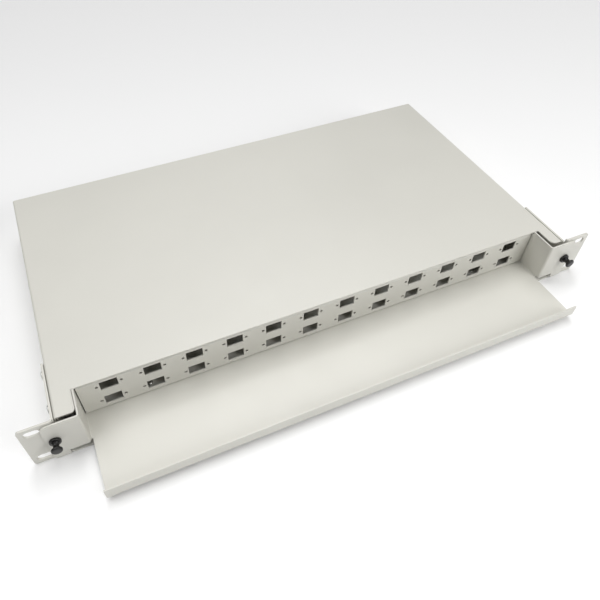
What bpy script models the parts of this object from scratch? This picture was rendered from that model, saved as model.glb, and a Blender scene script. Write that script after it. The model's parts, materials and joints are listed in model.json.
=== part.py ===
"""Sliding fibre termination box for a 19-inch rack, one unit high.

A folded steel housing carries two rack ears and two guide rails.  A drawer
slides in it: tray, recessed adapter panel, cable shelf with a lip, splice
cassettes and two push-pull latches.

Metres, +Z up, +Y to the back.  X = 0 is the middle of the box, Z = 0 its
underside, Y = 0 half way between the lip and the end of the earth stud.
"""
import math

import bmesh
import bpy
from mathutils import Matrix, Vector

MM = 0.001

# Rack format
RACK_WIDTH = 482.6 * MM
EAR_HEIGHT = 44.45 * MM
EAR_THICK = 1.6 * MM
EAR_CORNER = 2.5 * MM
SLOT_X = 232.55 * MM
SLOT_RISE = 15.875 * MM
SLOT_LENGTH = 11.0 * MM
SLOT_WIDTH = 6.6 * MM

# Housing
SHEET = 1.2 * MM
GAP = 0.3 * MM
COVER_HALF = 217.0 * MM
COVER_TOP = 41.0 * MM
COVER_HEM = 1.8 * MM
HOUSING_DEPTH = 250.0 * MM
TONGUE_FRONT = 4.0 * MM
TONGUE_CORNER_LEFT = 3.0 * MM
TONGUE_CORNER_RIGHT = 5.0 * MM
PAN_FRONT = -1.0 * MM
NOTCH_LEFT = -202.3 * MM
NOTCH_RIGHT = 206.4 * MM
BEND_OUT = 2.0 * MM
BEND_IN = 0.8 * MM
LEG_LENGTH = 53.0 * MM
LEG_TOP = 40.5 * MM

# Drawer
PANEL_SETBACK = 22.5 * MM
SHELF_REACH = 46.0 * MM
SHELF_HALF = 199.5 * MM
TRAY_FLOOR = 3.3 * MM
TRAY_BACK = 236.0 * MM
WALL_IN = 200.6 * MM
WALL_TOP = 39.2 * MM
LIP_TOP = 15.0 * MM
REAR_LIP_TOP = 12.0 * MM
FLANGE_OUT = 227.4 * MM
FLANGE_TOP = 42.5 * MM
FLANGE_CORNER = 4.5 * MM
RELIEF_OUT = 215.9 * MM
RELIEF_TOP = 5.3 * MM

# Adapter panel
COLUMNS = 12
PITCH = 32.25 * MM
ROW_HEIGHTS = (32.2 * MM, 14.2 * MM)
CUT_WIDTH = 13.0 * MM
CUT_HEIGHT = 9.5 * MM
FIX_OFFSET = 9.0 * MM
FIX_RADIUS = 1.25 * MM
PANEL_HALF = 199.8 * MM

# Latches
LATCH_X = 221.5 * MM
LATCH_Z = 23.2 * MM
SLEEVE_RADIUS = 1.95 * MM

# Fasteners
SCREW_STEPS = 16
EAR_SCREW_DEPTHS = (16.5 * MM, 46.5 * MM)
EAR_SCREW_HEIGHTS = (34.0 * MM, 10.0 * MM)
COVER_SCREW_DEPTHS = (110.0 * MM, 225.0 * MM)
COVER_SCREW_Z = 35.0 * MM
PANEL_SCREW_XS = (-150.0 * MM, 0.0, 150.0 * MM)
PANEL_SCREW_DEPTH = 30.0 * MM

# Guide rails and runners
RAIL_BOTTOM = 13.5 * MM
RAIL_TOP = 30.5 * MM
RAIL_FRONT = 20.0 * MM
RAIL_BACK = 240.0 * MM
RAIL_INNER = 206.5 * MM
RAIL_SHEET = 1.0 * MM
RUNNER_FRONT = 200.0 * MM
RUNNER_BACK = 232.0 * MM

# Rear wall
ENTRY_XS = (-170.0 * MM, -120.0 * MM, 120.0 * MM, 170.0 * MM)
ENTRY_Z = 20.5 * MM
ENTRY_RADIUS = 10.25 * MM
STUD_REACH = 9.0 * MM
STUD_Z = 12.0 * MM
STUD_RADIUS = 2.4 * MM

# Splice cassettes
CASSETTE_WIDTH = 170.0 * MM
CASSETTE_DEPTH = 105.0 * MM
CASSETTE_HEIGHT = 9.0 * MM
CASSETTE_WALL = 1.5 * MM
CASSETTE_CORNER = 12.0 * MM
CASSETTE_MID = 157.5 * MM
CASSETTE_BOTTOMS = (4.8 * MM, 14.1 * MM)
SPLICES = 12
SPLICE_PITCH = 2.6 * MM

# The ears' front face lies this far from the middle of the overall depth.
EAR_Y = (SHELF_REACH - HOUSING_DEPTH - STUD_REACH) / 2

COVER_UNDER = COVER_TOP - SHEET
PAN_HALF = COVER_HALF - SHEET - GAP
LEG_IN = COVER_HALF + GAP
LEG_OUT = LEG_IN + EAR_THICK
WALL_OUT = WALL_IN + SHEET
TRAY_SURFACE = TRAY_FLOOR + SHEET
SLOT_HEIGHTS = (EAR_HEIGHT / 2 + SLOT_RISE, EAR_HEIGHT / 2 - SLOT_RISE)

# A section drawn in one plane and stretched along the third axis.
ALONG_X = Matrix(((0, 0, 1, 0), (1, 0, 0, 0), (0, 1, 0, 0), (0, 0, 0, 1)))
ALONG_Y = Matrix(((1, 0, 0, 0), (0, 0, -1, 0), (0, 1, 0, 0), (0, 0, 0, 1)))
ALONG_Z = Matrix.Identity(4)

SIDES = (("left", -1), ("right", 1))


# ---------------------------------------------------------------- scene

def clear_scene():
    """Start from an empty scene."""
    for obj in list(bpy.data.objects):
        bpy.data.objects.remove(obj, do_unlink=True)


def new_collection(name):
    """A collection linked to the scene."""
    group = bpy.data.collections.new(name)
    bpy.context.scene.collection.children.link(group)
    return group


def new_material(name, colour, roughness, metallic=0.0):
    """A Principled material."""
    mat = bpy.data.materials.new(name)
    mat.use_nodes = True
    shader = mat.node_tree.nodes["Principled BSDF"]
    shader.inputs["Base Color"].default_value = (*colour, 1.0)
    shader.inputs["Roughness"].default_value = roughness
    shader.inputs["Metallic"].default_value = metallic
    return mat


def depth_y(depth):
    """World Y of a point this far behind the ears' front face."""
    return EAR_Y + depth


# -------------------------------------------------------------- outlines

def arc(cx, cy, radius, start, end, steps=4):
    """Points of an arc, angles in degrees."""
    angles = [math.radians(start + (end - start) * k / steps) for k in range(steps + 1)]
    return [(cx + radius * math.cos(a), cy + radius * math.sin(a)) for a in angles]


def rounded(corners, steps=4):
    """Closed outline through (x, y) or (x, y, radius) corners."""
    points = []
    for index, corner in enumerate(corners):
        here = Vector(corner[:2])
        if len(corner) == 2:
            points.append(tuple(here))
            continue
        radius = corner[2]
        back = (Vector(corners[index - 1][:2]) - here).normalized()
        ahead = (Vector(corners[(index + 1) % len(corners)][:2]) - here).normalized()
        half = back.angle(ahead) / 2
        centre = here + (back + ahead).normalized() * radius / math.sin(half)
        first = here + back * radius / math.tan(half) - centre
        last = here + ahead * radius / math.tan(half) - centre
        start = math.degrees(math.atan2(first.y, first.x))
        turn = math.degrees(math.atan2(first.cross(last), first.dot(last)))
        points += arc(centre.x, centre.y, radius, start, start + turn, steps)
    return points


def rectangle(x0, y0, x1, y1, radius=0.0):
    """Outline of a rectangle, with rounded corners if a radius is given."""
    corners = [(x0, y0), (x1, y0), (x1, y1), (x0, y1)]
    if radius:
        corners = [(x, y, radius) for x, y in corners]
    return rounded(corners)


def circle(cx, cy, radius, steps=16):
    """Outline of a circle."""
    return arc(cx, cy, radius, 0.0, 360.0, steps)[:-1]


def slot(cx, cy, length, width, steps=6):
    """Outline of a horizontal slot with round ends."""
    radius = width / 2
    reach = length / 2 - radius
    right = arc(cx + reach, cy, radius, -90.0, 90.0, steps)
    left = arc(cx - reach, cy, radius, 90.0, 270.0, steps)
    return right + left


def mirrored(outline, side):
    """The outline itself on the right, its mirror image on the left."""
    if side > 0:
        return outline
    return [(-x, y) for x, y in reversed(outline)]


# ---------------------------------------------------------------- solids

def finish(obj, group, mat=None, smooth=True):
    """Link a piece, give it its material and its shading."""
    group.objects.link(obj)
    if mat is not None:
        obj.data.materials.clear()
        obj.data.materials.append(mat)
    if smooth:
        obj.data.shade_smooth()
        obj.data.set_sharp_from_angle(angle=math.radians(35))
    return obj


def prism(name, outlines, low, high, axis, group, mat=None):
    """Flat outlines, the inner ones being holes, stretched from low to high."""
    curve = bpy.data.curves.new(name, "CURVE")
    curve.dimensions = "2D"
    curve.fill_mode = "BOTH"
    curve.extrude = (high - low) / 2
    for outline in outlines:
        spline = curve.splines.new("POLY")
        spline.points.add(len(outline) - 1)
        for point, (x, y) in zip(spline.points, outline):
            point.co = (x, y, 0.0, 1.0)
        spline.use_cyclic_u = True
    source = bpy.data.objects.new(name + "_outline", curve)
    bpy.context.scene.collection.objects.link(source)
    direction = axis.to_3x3() @ Vector((0.0, 0.0, 1.0))
    middle = (low + high) / 2
    offset = Vector([abs(part) for part in direction]) * middle
    source.matrix_world = Matrix.Translation(offset) @ axis
    bpy.context.view_layer.update()
    evaluated = source.evaluated_get(bpy.context.evaluated_depsgraph_get())
    mesh = bpy.data.meshes.new_from_object(evaluated)
    mesh.name = name
    weld(mesh)
    obj = bpy.data.objects.new(name, mesh)
    obj.matrix_world = source.matrix_world
    bpy.data.objects.remove(source, do_unlink=True)
    bpy.data.curves.remove(curve)
    return finish(obj, group, mat)


def weld(mesh):
    """Join a curve's loose caps to its sides."""
    bm = bmesh.new()
    bm.from_mesh(mesh)
    bmesh.ops.remove_doubles(bm, verts=bm.verts, dist=0.01 * MM)
    bm.to_mesh(mesh)
    bm.free()


def box(name, low, high, group, mat=None, bevel=0.0):
    """A block between two corners, its edges rounded by a Bevel."""
    low = Vector(low)
    high = Vector(high)
    mesh = bpy.data.meshes.new(name)
    bm = bmesh.new()
    bmesh.ops.create_cube(bm, size=1.0)
    bmesh.ops.scale(bm, vec=high - low, verts=bm.verts)
    bm.to_mesh(mesh)
    bm.free()
    obj = bpy.data.objects.new(name, mesh)
    obj.location = (low + high) / 2
    if bevel:
        modifier = obj.modifiers.new("edges", "BEVEL")
        modifier.width = bevel
        modifier.segments = 2
    return finish(obj, group, mat)


def turned(name, profile, place, direction, group, mat=None, steps=SCREW_STEPS):
    """A profile of (radius, height) turned about an axis through place.

    The profile runs down its outer side, from the top of the axis.
    """
    mesh = bpy.data.meshes.new(name)
    verts = [(radius, 0.0, height) for radius, height in profile]
    edges = [(k, k + 1) for k in range(len(profile) - 1)]
    if profile[0][0] > 0.0:
        edges.append((len(profile) - 1, 0))
    mesh.from_pydata(verts, edges, [])
    obj = bpy.data.objects.new(name, mesh)
    obj.location = place
    obj.rotation_euler = Vector(direction).to_track_quat("Z", "Y").to_euler()
    screw = obj.modifiers.new("turn", "SCREW")
    screw.axis = "Z"
    screw.steps = steps
    screw.render_steps = steps
    screw.use_merge_vertices = True
    screw.merge_threshold = 0.01 * MM
    screw.use_smooth_shade = True
    return finish(obj, group, mat, smooth=False)


def combine(obj, other, operation):
    """Boolean modifier with another object, kept out of the model."""
    other.hide_render = True
    other.display_type = "WIRE"
    modifier = obj.modifiers.new(operation.lower(), "BOOLEAN")
    modifier.operation = operation
    modifier.object = other
    modifier.solver = "EXACT"
    return obj


def rod_cutters(name, rods, group, steps=16):
    """One cutter mesh of round rods: (start, end, radius) each."""
    mesh = bpy.data.meshes.new(name)
    bm = bmesh.new()
    for start, end, radius in rods:
        start = Vector(start)
        span = Vector(end) - start
        turn = span.to_track_quat("Z", "Y").to_matrix().to_4x4()
        place = Matrix.Translation(start + span / 2) @ turn
        bmesh.ops.create_cone(
            bm, cap_ends=True, segments=steps, radius1=radius, radius2=radius,
            depth=span.length, matrix=place)
    bm.to_mesh(mesh)
    bm.free()
    return finish(bpy.data.objects.new(name, mesh), group, smooth=False)


def block_cutters(name, blocks, group):
    """One cutter mesh of blocks: (low corner, high corner) each."""
    mesh = bpy.data.meshes.new(name)
    bm = bmesh.new()
    for low, high in blocks:
        low = Vector(low)
        size = Vector(high) - low
        place = Matrix.Translation(low + size / 2) @ Matrix.Diagonal((*size, 1.0))
        bmesh.ops.create_cube(bm, size=1.0, matrix=place)
    bm.to_mesh(mesh)
    bm.free()
    return finish(bpy.data.objects.new(name, mesh), group, smooth=False)


def screw_profile(head_radius, head_height, shank_radius, shank_length):
    """Pan-head screw: domed head above z = 0, shank below."""
    return [
        (0.0, head_height),
        (0.55 * head_radius, head_height),
        (0.85 * head_radius, 0.8 * head_height),
        (head_radius, 0.4 * head_height),
        (head_radius, 0.0),
        (shank_radius, 0.0),
        (shank_radius, -shank_length + 0.4 * MM),
        (shank_radius - 0.4 * MM, -shank_length),
        (0.0, -shank_length),
    ]


def attach(pieces, anchor):
    """Parent pieces to an empty and leave them where they are."""
    for piece in pieces:
        piece.parent = anchor
        piece.matrix_parent_inverse = Matrix.Translation(-anchor.location)


def new_anchor(name, place, group, parent=None):
    """An empty that carries one moving group."""
    anchor = bpy.data.objects.new(name, None)
    anchor.location = place
    anchor.empty_display_size = 20 * MM
    group.objects.link(anchor)
    if parent is not None:
        anchor.parent = parent
        anchor.matrix_parent_inverse = Matrix.Translation(-parent.location)
    return anchor


# --------------------------------------------------------------- housing

def ear_screw_rods(radius):
    """Clearance holes for the ear screws, right through both sides."""
    rods = []
    for depth in EAR_SCREW_DEPTHS:
        for height in EAR_SCREW_HEIGHTS:
            y = depth_y(depth)
            reach = LEG_OUT + 5 * MM
            rods.append(((-reach, y, height), (reach, y, height), radius))
    return rods


def cover_screw_rods(radius):
    """Clearance holes for the cover screws, right through both sides."""
    reach = COVER_HALF + 5 * MM
    return [
        ((-reach, depth_y(depth), COVER_SCREW_Z), (reach, depth_y(depth), COVER_SCREW_Z), radius)
        for depth in COVER_SCREW_DEPTHS
    ]


def make_top_cover(parts, cutters, paint):
    """Folded cover: top plate, two skirts, a notch for the drawer front."""
    inner = COVER_HALF - SHEET
    section = rounded([
        (-COVER_HALF, COVER_HEM),
        (-inner, COVER_HEM),
        (-inner, COVER_UNDER, BEND_IN),
        (inner, COVER_UNDER, BEND_IN),
        (inner, COVER_HEM),
        (COVER_HALF, COVER_HEM),
        (COVER_HALF, COVER_TOP, BEND_OUT),
        (-COVER_HALF, COVER_TOP, BEND_OUT),
    ])
    front = depth_y(TONGUE_FRONT)
    cover = prism("top_cover", [section], front, depth_y(HOUSING_DEPTH), ALONG_Y, parts, paint)
    back = depth_y(PANEL_SETBACK)
    outside = front - 3 * MM
    left = TONGUE_CORNER_LEFT
    right = TONGUE_CORNER_RIGHT
    left_turn = arc(NOTCH_LEFT - left, front + left, left, -90.0, 0.0, 6)
    right_turn = arc(NOTCH_RIGHT + right, front + right, right, 180.0, 270.0, 6)
    notch = [(NOTCH_LEFT - left, outside)] + left_turn
    notch += [(NOTCH_LEFT, back), (NOTCH_RIGHT, back)]
    notch += right_turn + [(NOTCH_RIGHT + right, outside)]
    mouth = prism("cover_notch", [notch], COVER_UNDER - 8 * MM, COVER_TOP + 8 * MM, ALONG_Z, cutters)
    combine(cover, mouth, "DIFFERENCE")
    holes = ear_screw_rods(2.3 * MM) + cover_screw_rods(3.1 * MM)
    combine(cover, rod_cutters("cover_holes", holes, cutters), "DIFFERENCE")
    return cover


def make_base_pan(parts, cutters, paint):
    """Floor, two sides and rear wall folded from one sheet, open in front."""
    low = Vector((-PAN_HALF, depth_y(PAN_FRONT), 0.0))
    high = Vector((PAN_HALF, depth_y(HOUSING_DEPTH), COVER_UNDER - 0.4 * MM))
    mesh = bpy.data.meshes.new("base_pan")
    bm = bmesh.new()
    bmesh.ops.create_cube(bm, size=1.0)
    bmesh.ops.scale(bm, vec=high - low, verts=bm.verts)
    open_faces = [f for f in bm.faces if f.normal.z > 0.5 or f.normal.y < -0.5]
    bmesh.ops.delete(bm, geom=open_faces, context="FACES_ONLY")
    folds = [e for e in bm.edges if len(e.link_faces) == 2 and e.calc_face_angle() > 0.5
             and all(v.co.z < 0 for v in e.verts)]
    bmesh.ops.bevel(bm, geom=folds, offset=BEND_OUT, segments=3, affect="EDGES", profile=0.5)
    bm.to_mesh(mesh)
    bm.free()
    pan = bpy.data.objects.new("base_pan", mesh)
    pan.location = (low + high) / 2
    shell = pan.modifiers.new("sheet", "SOLIDIFY")
    shell.thickness = SHEET
    shell.offset = -1.0
    shell.use_even_offset = True
    finish(pan, parts, paint)
    rear = depth_y(HOUSING_DEPTH)
    holes = ear_screw_rods(2.3 * MM) + cover_screw_rods(1.8 * MM)
    for x in ENTRY_XS:
        holes.append(((x, rear - 6 * MM, ENTRY_Z), (x, rear + 6 * MM, ENTRY_Z), ENTRY_RADIUS))
    holes.append(((0, rear - 6 * MM, STUD_Z), (0, rear + 6 * MM, STUD_Z), STUD_RADIUS + GAP))
    combine(pan, rod_cutters("pan_holes", holes, cutters, 20), "DIFFERENCE")
    fronts = []
    for _, side in SIDES:
        xs = sorted((side * (PAN_HALF - 8 * MM), side * (PAN_HALF + 5 * MM)))
        fronts.append(((xs[0], depth_y(PAN_FRONT) - 5 * MM, BEND_OUT + 0.4 * MM),
                       (xs[1], depth_y(5.0 * MM), EAR_HEIGHT)))
    combine(pan, block_cutters("pan_fronts", fronts, cutters), "DIFFERENCE")
    return pan


def make_ear_bracket(name, side, parts, cutters, paint):
    """Rack ear with a leg folded back along the housing's side."""
    front = depth_y(0.0)
    back = front + EAR_THICK
    tip = depth_y(LEG_LENGTH)
    plan = rounded([
        (RACK_WIDTH / 2, front),
        (RACK_WIDTH / 2, back),
        (LEG_OUT, back, 0.6 * MM),
        (LEG_OUT, tip),
        (LEG_IN, tip),
        (LEG_IN, front, 2.6 * MM),
    ])
    ear = prism(name, [mirrored(plan, side)], 0.0, EAR_HEIGHT, ALONG_Z, parts, paint)
    view = rounded([
        (LEG_IN - 2 * MM, 0.0 - 1 * MM),
        (RACK_WIDTH / 2 - EAR_CORNER - 1 * MM, -1 * MM),
        (RACK_WIDTH / 2 - EAR_CORNER - 1 * MM, 0.0),
        (RACK_WIDTH / 2, 0.0, EAR_CORNER),
        (RACK_WIDTH / 2, EAR_HEIGHT, EAR_CORNER),
        (RACK_WIDTH / 2 - EAR_CORNER - 1 * MM, EAR_HEIGHT),
        (RACK_WIDTH / 2 - EAR_CORNER - 1 * MM, EAR_HEIGHT + 1 * MM),
        (LEG_IN - 2 * MM, EAR_HEIGHT + 1 * MM),
    ], 5)
    openings = [slot(SLOT_X, height, SLOT_LENGTH, SLOT_WIDTH) for height in SLOT_HEIGHTS]
    shape = [mirrored(view, side)] + [mirrored(opening, side) for opening in openings]
    face = prism(name + "_front_view", shape, front - 5 * MM, tip + 5 * MM, ALONG_Y, cutters)
    combine(ear, face, "INTERSECT")
    xs = sorted((side * (LEG_IN - 1 * MM), side * (LEG_OUT + 1 * MM)))
    above = block_cutters(name + "_leg_step", [
        ((xs[0], depth_y(2.2 * MM), LEG_TOP), (xs[1], tip + 5 * MM, EAR_HEIGHT + 2 * MM))], cutters)
    combine(ear, above, "DIFFERENCE")
    holes = ear_screw_rods(2.3 * MM)
    x = side * LATCH_X
    holes.append(((x, front - 2 * MM, LATCH_Z), (x, front + 12 * MM, LATCH_Z), 2.5 * MM))
    combine(ear, rod_cutters(name + "_holes", holes, cutters), "DIFFERENCE")
    return ear


def make_guide_rail(name, side, parts, cutters, zinc):
    """Channel open towards the drawer, its front end closed as a stop."""
    web = PAN_HALF - SHEET - GAP
    xs = sorted((side * web, side * RAIL_INNER))
    rail = box(name, (xs[0], depth_y(RAIL_FRONT), RAIL_BOTTOM),
               (xs[1], depth_y(RAIL_BACK), RAIL_TOP), parts, zinc)
    hollow = sorted((side * (web - RAIL_SHEET), side * (RAIL_INNER - 5 * MM)))
    channel = block_cutters(name + "_channel", [(
        (hollow[0], depth_y(RAIL_FRONT) + RAIL_SHEET, RAIL_BOTTOM + RAIL_SHEET),
        (hollow[1], depth_y(RAIL_BACK) + 5 * MM, RAIL_TOP - RAIL_SHEET))], cutters)
    return combine(rail, channel, "DIFFERENCE")


def make_glide_pad(name, side, parts, nylon):
    """Nylon pad on the housing floor that the tray slides over."""
    middle = side * 150 * MM
    low = (middle - 20 * MM, depth_y(8 * MM), SHEET + GAP)
    high = (middle + 20 * MM, depth_y(22 * MM), TRAY_FLOOR - GAP)
    return box(name, low, high, parts, nylon, 0.4 * MM)


def make_entry_plug(name, x, parts, rubber):
    """Rubber blind grommet in a rear cable entry."""
    outer = 13.0 * MM
    profile = [
        (0.0, 3.2 * MM),
        (5.0 * MM, 3.2 * MM),
        (6.0 * MM, 2.0 * MM),
        (outer - 1.0 * MM, 2.3 * MM),
        (outer, 1.4 * MM),
        (outer, GAP),
        (ENTRY_RADIUS - GAP, GAP),
        (ENTRY_RADIUS - GAP, -SHEET - GAP),
        (outer - 1.2 * MM, -SHEET - GAP),
        (ENTRY_RADIUS - 1.5 * MM, -SHEET - 2.6 * MM),
        (0.0, -SHEET - 2.6 * MM),
    ]
    place = (x, depth_y(HOUSING_DEPTH), ENTRY_Z)
    return turned(name, profile, place, (0, 1, 0), parts, rubber, 20)


def make_earth_point(parts, zinc, cutters):
    """Earth stud through the rear wall with its washer and nut."""
    rear = depth_y(HOUSING_DEPTH)
    inside = SHEET + GAP
    stud = turned("earth_stud", [
        (0.0, STUD_REACH),
        (STUD_RADIUS - 0.5 * MM, STUD_REACH),
        (STUD_RADIUS, STUD_REACH - 0.5 * MM),
        (STUD_RADIUS, -inside),
        (4.5 * MM, -inside),
        (4.5 * MM, -inside - 2 * MM),
        (0.0, -inside - 2 * MM),
    ], (0, rear, STUD_Z), (0, 1, 0), parts, zinc)
    bore = STUD_RADIUS + GAP
    washer = turned("earth_washer", [
        (bore, 1.3 * MM),
        (5.5 * MM, 1.3 * MM),
        (5.5 * MM, GAP),
        (bore, GAP),
    ], (0, rear, STUD_Z), (0, 1, 0), parts, zinc)
    nut_low = rear + 1.6 * MM
    hexagon = circle(0.0, STUD_Z, 4.6 * MM, 6)
    hole = circle(0.0, STUD_Z, bore, 12)
    nut = prism("earth_nut", [hexagon, hole], nut_low, nut_low + 4 * MM, ALONG_Y, parts, zinc)
    return [stud, washer, nut]


def make_side_screws(parts, zinc):
    """Ear screws and cover screws on both sides."""
    made = []
    ear_profile = screw_profile(3.8 * MM, 1.9 * MM, 1.9 * MM, 6.0 * MM)
    cover_profile = [
        (0.0, 0.0),
        (2.8 * MM, 0.0),
        (2.8 * MM, -0.35 * MM),
        (1.7 * MM, -1.2 * MM),
        (1.4 * MM, -1.2 * MM),
        (1.4 * MM, -4.6 * MM),
        (1.0 * MM, -5.0 * MM),
        (0.0, -5.0 * MM),
    ]
    ear_names = [(depth, height, end + "_" + level)
                 for depth, end in zip(EAR_SCREW_DEPTHS, ("front", "rear"))
                 for height, level in zip(EAR_SCREW_HEIGHTS, ("upper", "lower"))]
    for label, side in SIDES:
        out = (side, 0, 0)
        for depth, height, spot in ear_names:
            place = (side * (LEG_OUT + GAP), depth_y(depth), height)
            name = "ear_screw_" + label + "_" + spot
            made.append(turned(name, ear_profile, place, out, parts, zinc))
        for depth, spot in zip(COVER_SCREW_DEPTHS, ("front", "rear")):
            place = (side * COVER_HALF, depth_y(depth), COVER_SCREW_Z)
            name = "cover_screw_" + label + "_" + spot
            made.append(turned(name, cover_profile, place, out, parts, zinc, 12))
    return made


# ---------------------------------------------------------------- drawer

def make_drawer_tray(parts, cutters, paint):
    """Floor with cable shelf and lip, side walls and front flanges, one sheet.

    The right half of the sheet's outer side is folded up, mirrored, and
    thickened inwards.
    """
    lip = depth_y(-SHELF_REACH)
    back = depth_y(TRAY_BACK)
    front = depth_y(1.6 * MM)
    wall_back = back - 2 * MM
    flange = depth_y(-GAP)
    high_end = depth_y(PANEL_SETBACK - 0.6 * MM)
    floor = [(0, lip), (SHELF_HALF, lip), (SHELF_HALF, front), (WALL_OUT, front),
             (WALL_OUT, wall_back), (SHELF_HALF, wall_back), (SHELF_HALF, back), (0, back)]
    wall = [(front, TRAY_FLOOR), (wall_back, TRAY_FLOOR), (wall_back, WALL_TOP),
            (high_end, WALL_TOP), (high_end - 0.8 * MM, FLANGE_TOP), (flange, FLANGE_TOP),
            (flange, RELIEF_TOP), (front, TRAY_FLOOR + 2.4 * MM)]
    face = rounded([
        (WALL_OUT, RELIEF_TOP),
        (RELIEF_OUT, RELIEF_TOP),
        (RELIEF_OUT, GAP),
        (FLANGE_OUT, GAP, 3.0 * MM),
        (FLANGE_OUT, FLANGE_TOP, FLANGE_CORNER),
        (WALL_OUT, FLANGE_TOP),
    ])
    bm = bmesh.new()
    panels = [
        [(x, y, TRAY_FLOOR) for x, y in reversed(floor)],
        [(WALL_OUT, y, z) for y, z in wall],
        [(x, flange, z) for x, z in reversed(face)],
        [(0, lip, TRAY_FLOOR), (SHELF_HALF, lip, TRAY_FLOOR), (SHELF_HALF, lip, LIP_TOP),
         (0, lip, LIP_TOP)],
        [(0, back, REAR_LIP_TOP), (SHELF_HALF, back, REAR_LIP_TOP), (SHELF_HALF, back, TRAY_FLOOR),
         (0, back, TRAY_FLOOR)],
    ]
    for panel in panels:
        bm.faces.new([bm.verts.new(point) for point in panel])
    bmesh.ops.remove_doubles(bm, verts=bm.verts, dist=0.01 * MM)
    bends = [e for e in bm.edges if len(e.link_faces) == 2]
    upright = [e for e in bends if abs(e.verts[0].co.z - e.verts[1].co.z) > 10 * MM]
    level = [e for e in bends if e not in upright]
    bmesh.ops.bevel(bm, geom=upright, offset=BEND_IN, segments=3, affect="EDGES", profile=0.5)
    level = [e for e in level if e.is_valid]
    bmesh.ops.bevel(bm, geom=level, offset=BEND_OUT, segments=3, affect="EDGES", profile=0.5)
    mesh = bpy.data.meshes.new("drawer_tray")
    bm.to_mesh(mesh)
    bm.free()
    tray = bpy.data.objects.new("drawer_tray", mesh)
    halves = tray.modifiers.new("halves", "MIRROR")
    halves.merge_threshold = 0.01 * MM
    shell = tray.modifiers.new("sheet", "SOLIDIFY")
    shell.thickness = SHEET
    shell.offset = -1.0
    shell.use_even_offset = True
    finish(tray, parts, paint)
    holes = []
    for depth in (RUNNER_FRONT + 8 * MM, RUNNER_BACK - 8 * MM):
        y = depth_y(depth)
        holes.append(((-WALL_OUT - 5 * MM, y, 22 * MM), (WALL_OUT + 5 * MM, y, 22 * MM), 2.3 * MM))
    for x, depth in floor_screw_spots():
        holes.append(((x, depth_y(depth), 0.0), (x, depth_y(depth), 8 * MM), 1.8 * MM))
    for _, side in SIDES:
        x = side * LATCH_X
        holes.append(((x, flange - 6 * MM, LATCH_Z), (x, flange + 6 * MM, LATCH_Z), 2.25 * MM))
    combine(tray, rod_cutters("tray_holes", holes, cutters), "DIFFERENCE")
    return tray


def floor_screw_spots():
    """(x, depth) of the screws that go into the tray floor."""
    spots = [(x, PANEL_SCREW_DEPTH) for x in PANEL_SCREW_XS]
    spots += [(side * 150 * MM, ANCHOR_DEPTH) for _, side in SIDES]
    return spots


def make_adapter_panel(parts, cutters, paint):
    """Channel-shaped plate with two rows of adapter cut-outs."""
    face = depth_y(PANEL_SETBACK)
    low = TRAY_SURFACE + GAP
    top = WALL_TOP + 0.1 * MM
    section = rounded([
        (face + 13.5 * MM, low),
        (face + 13.5 * MM, low + SHEET),
        (face + SHEET, low + SHEET, 0.6 * MM),
        (face + SHEET, top - SHEET, 0.6 * MM),
        (face + 9.5 * MM, top - SHEET),
        (face + 9.5 * MM, top),
        (face, top, 1.8 * MM),
        (face, low, 1.8 * MM),
    ])
    panel = prism("adapter_panel", [section], -PANEL_HALF, PANEL_HALF, ALONG_X, parts, paint)
    windows = []
    holes = []
    for column in range(COLUMNS):
        x = (column - (COLUMNS - 1) / 2) * PITCH
        for z in ROW_HEIGHTS:
            windows.append(((x - CUT_WIDTH / 2, face - 3 * MM, z - CUT_HEIGHT / 2),
                            (x + CUT_WIDTH / 2, face + 3 * MM, z + CUT_HEIGHT / 2)))
            for offset in (-FIX_OFFSET, FIX_OFFSET):
                holes.append(((x + offset, face - 3 * MM, z), (x + offset, face + 3 * MM, z),
                              FIX_RADIUS))
    combine(panel, block_cutters("panel_windows", windows, cutters), "DIFFERENCE")
    combine(panel, rod_cutters("panel_fixings", holes, cutters, 8), "DIFFERENCE")
    feet = [((x, face + 7.5 * MM, 0.0), (x, face + 7.5 * MM, 12 * MM), 1.8 * MM)
            for x in PANEL_SCREW_XS]
    combine(panel, rod_cutters("panel_foot_holes", feet, cutters, 12), "DIFFERENCE")
    return panel


def make_panel_screws(parts, zinc):
    """Screws through the panel's foot into the tray floor."""
    profile = screw_profile(2.8 * MM, 1.9 * MM, 1.4 * MM, 2.8 * MM)
    height = TRAY_SURFACE + 2 * GAP + SHEET
    names = ("panel_screw_left", "panel_screw_middle", "panel_screw_right")
    return [turned(name, profile, (x, depth_y(PANEL_SCREW_DEPTH), height), (0, 0, 1), parts, zinc, 12)
            for name, x in zip(names, PANEL_SCREW_XS)]


def make_runner(name, side, parts, nylon):
    """Nylon block that rides in the rail, with two pegs into the wall."""
    inner = WALL_OUT + GAP
    outer = PAN_HALF - SHEET - GAP - RAIL_SHEET - 0.7 * MM
    xs = sorted((side * inner, side * outer))
    clearance = 0.4 * MM
    runner = box(name, (xs[0], depth_y(RUNNER_FRONT), RAIL_BOTTOM + RAIL_SHEET + clearance),
                 (xs[1], depth_y(RUNNER_BACK), RAIL_TOP - RAIL_SHEET - clearance), parts, nylon)
    return runner


def make_runner_pegs(runner, side, cutters):
    """Join the pegs to the runner."""
    pegs = []
    for depth in (RUNNER_FRONT + 8 * MM, RUNNER_BACK - 8 * MM):
        y = depth_y(depth)
        pegs.append(((side * (WALL_IN - 1 * MM), y, 22 * MM), (side * (WALL_OUT + 3 * MM), y, 22 * MM),
                     2.0 * MM))
    combine(runner, rod_cutters(runner.name + "_pegs", pegs, cutters, 12), "UNION")
    bevel = runner.modifiers.new("edges", "BEVEL")
    bevel.width = 0.5 * MM
    bevel.segments = 1
    return runner


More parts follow.
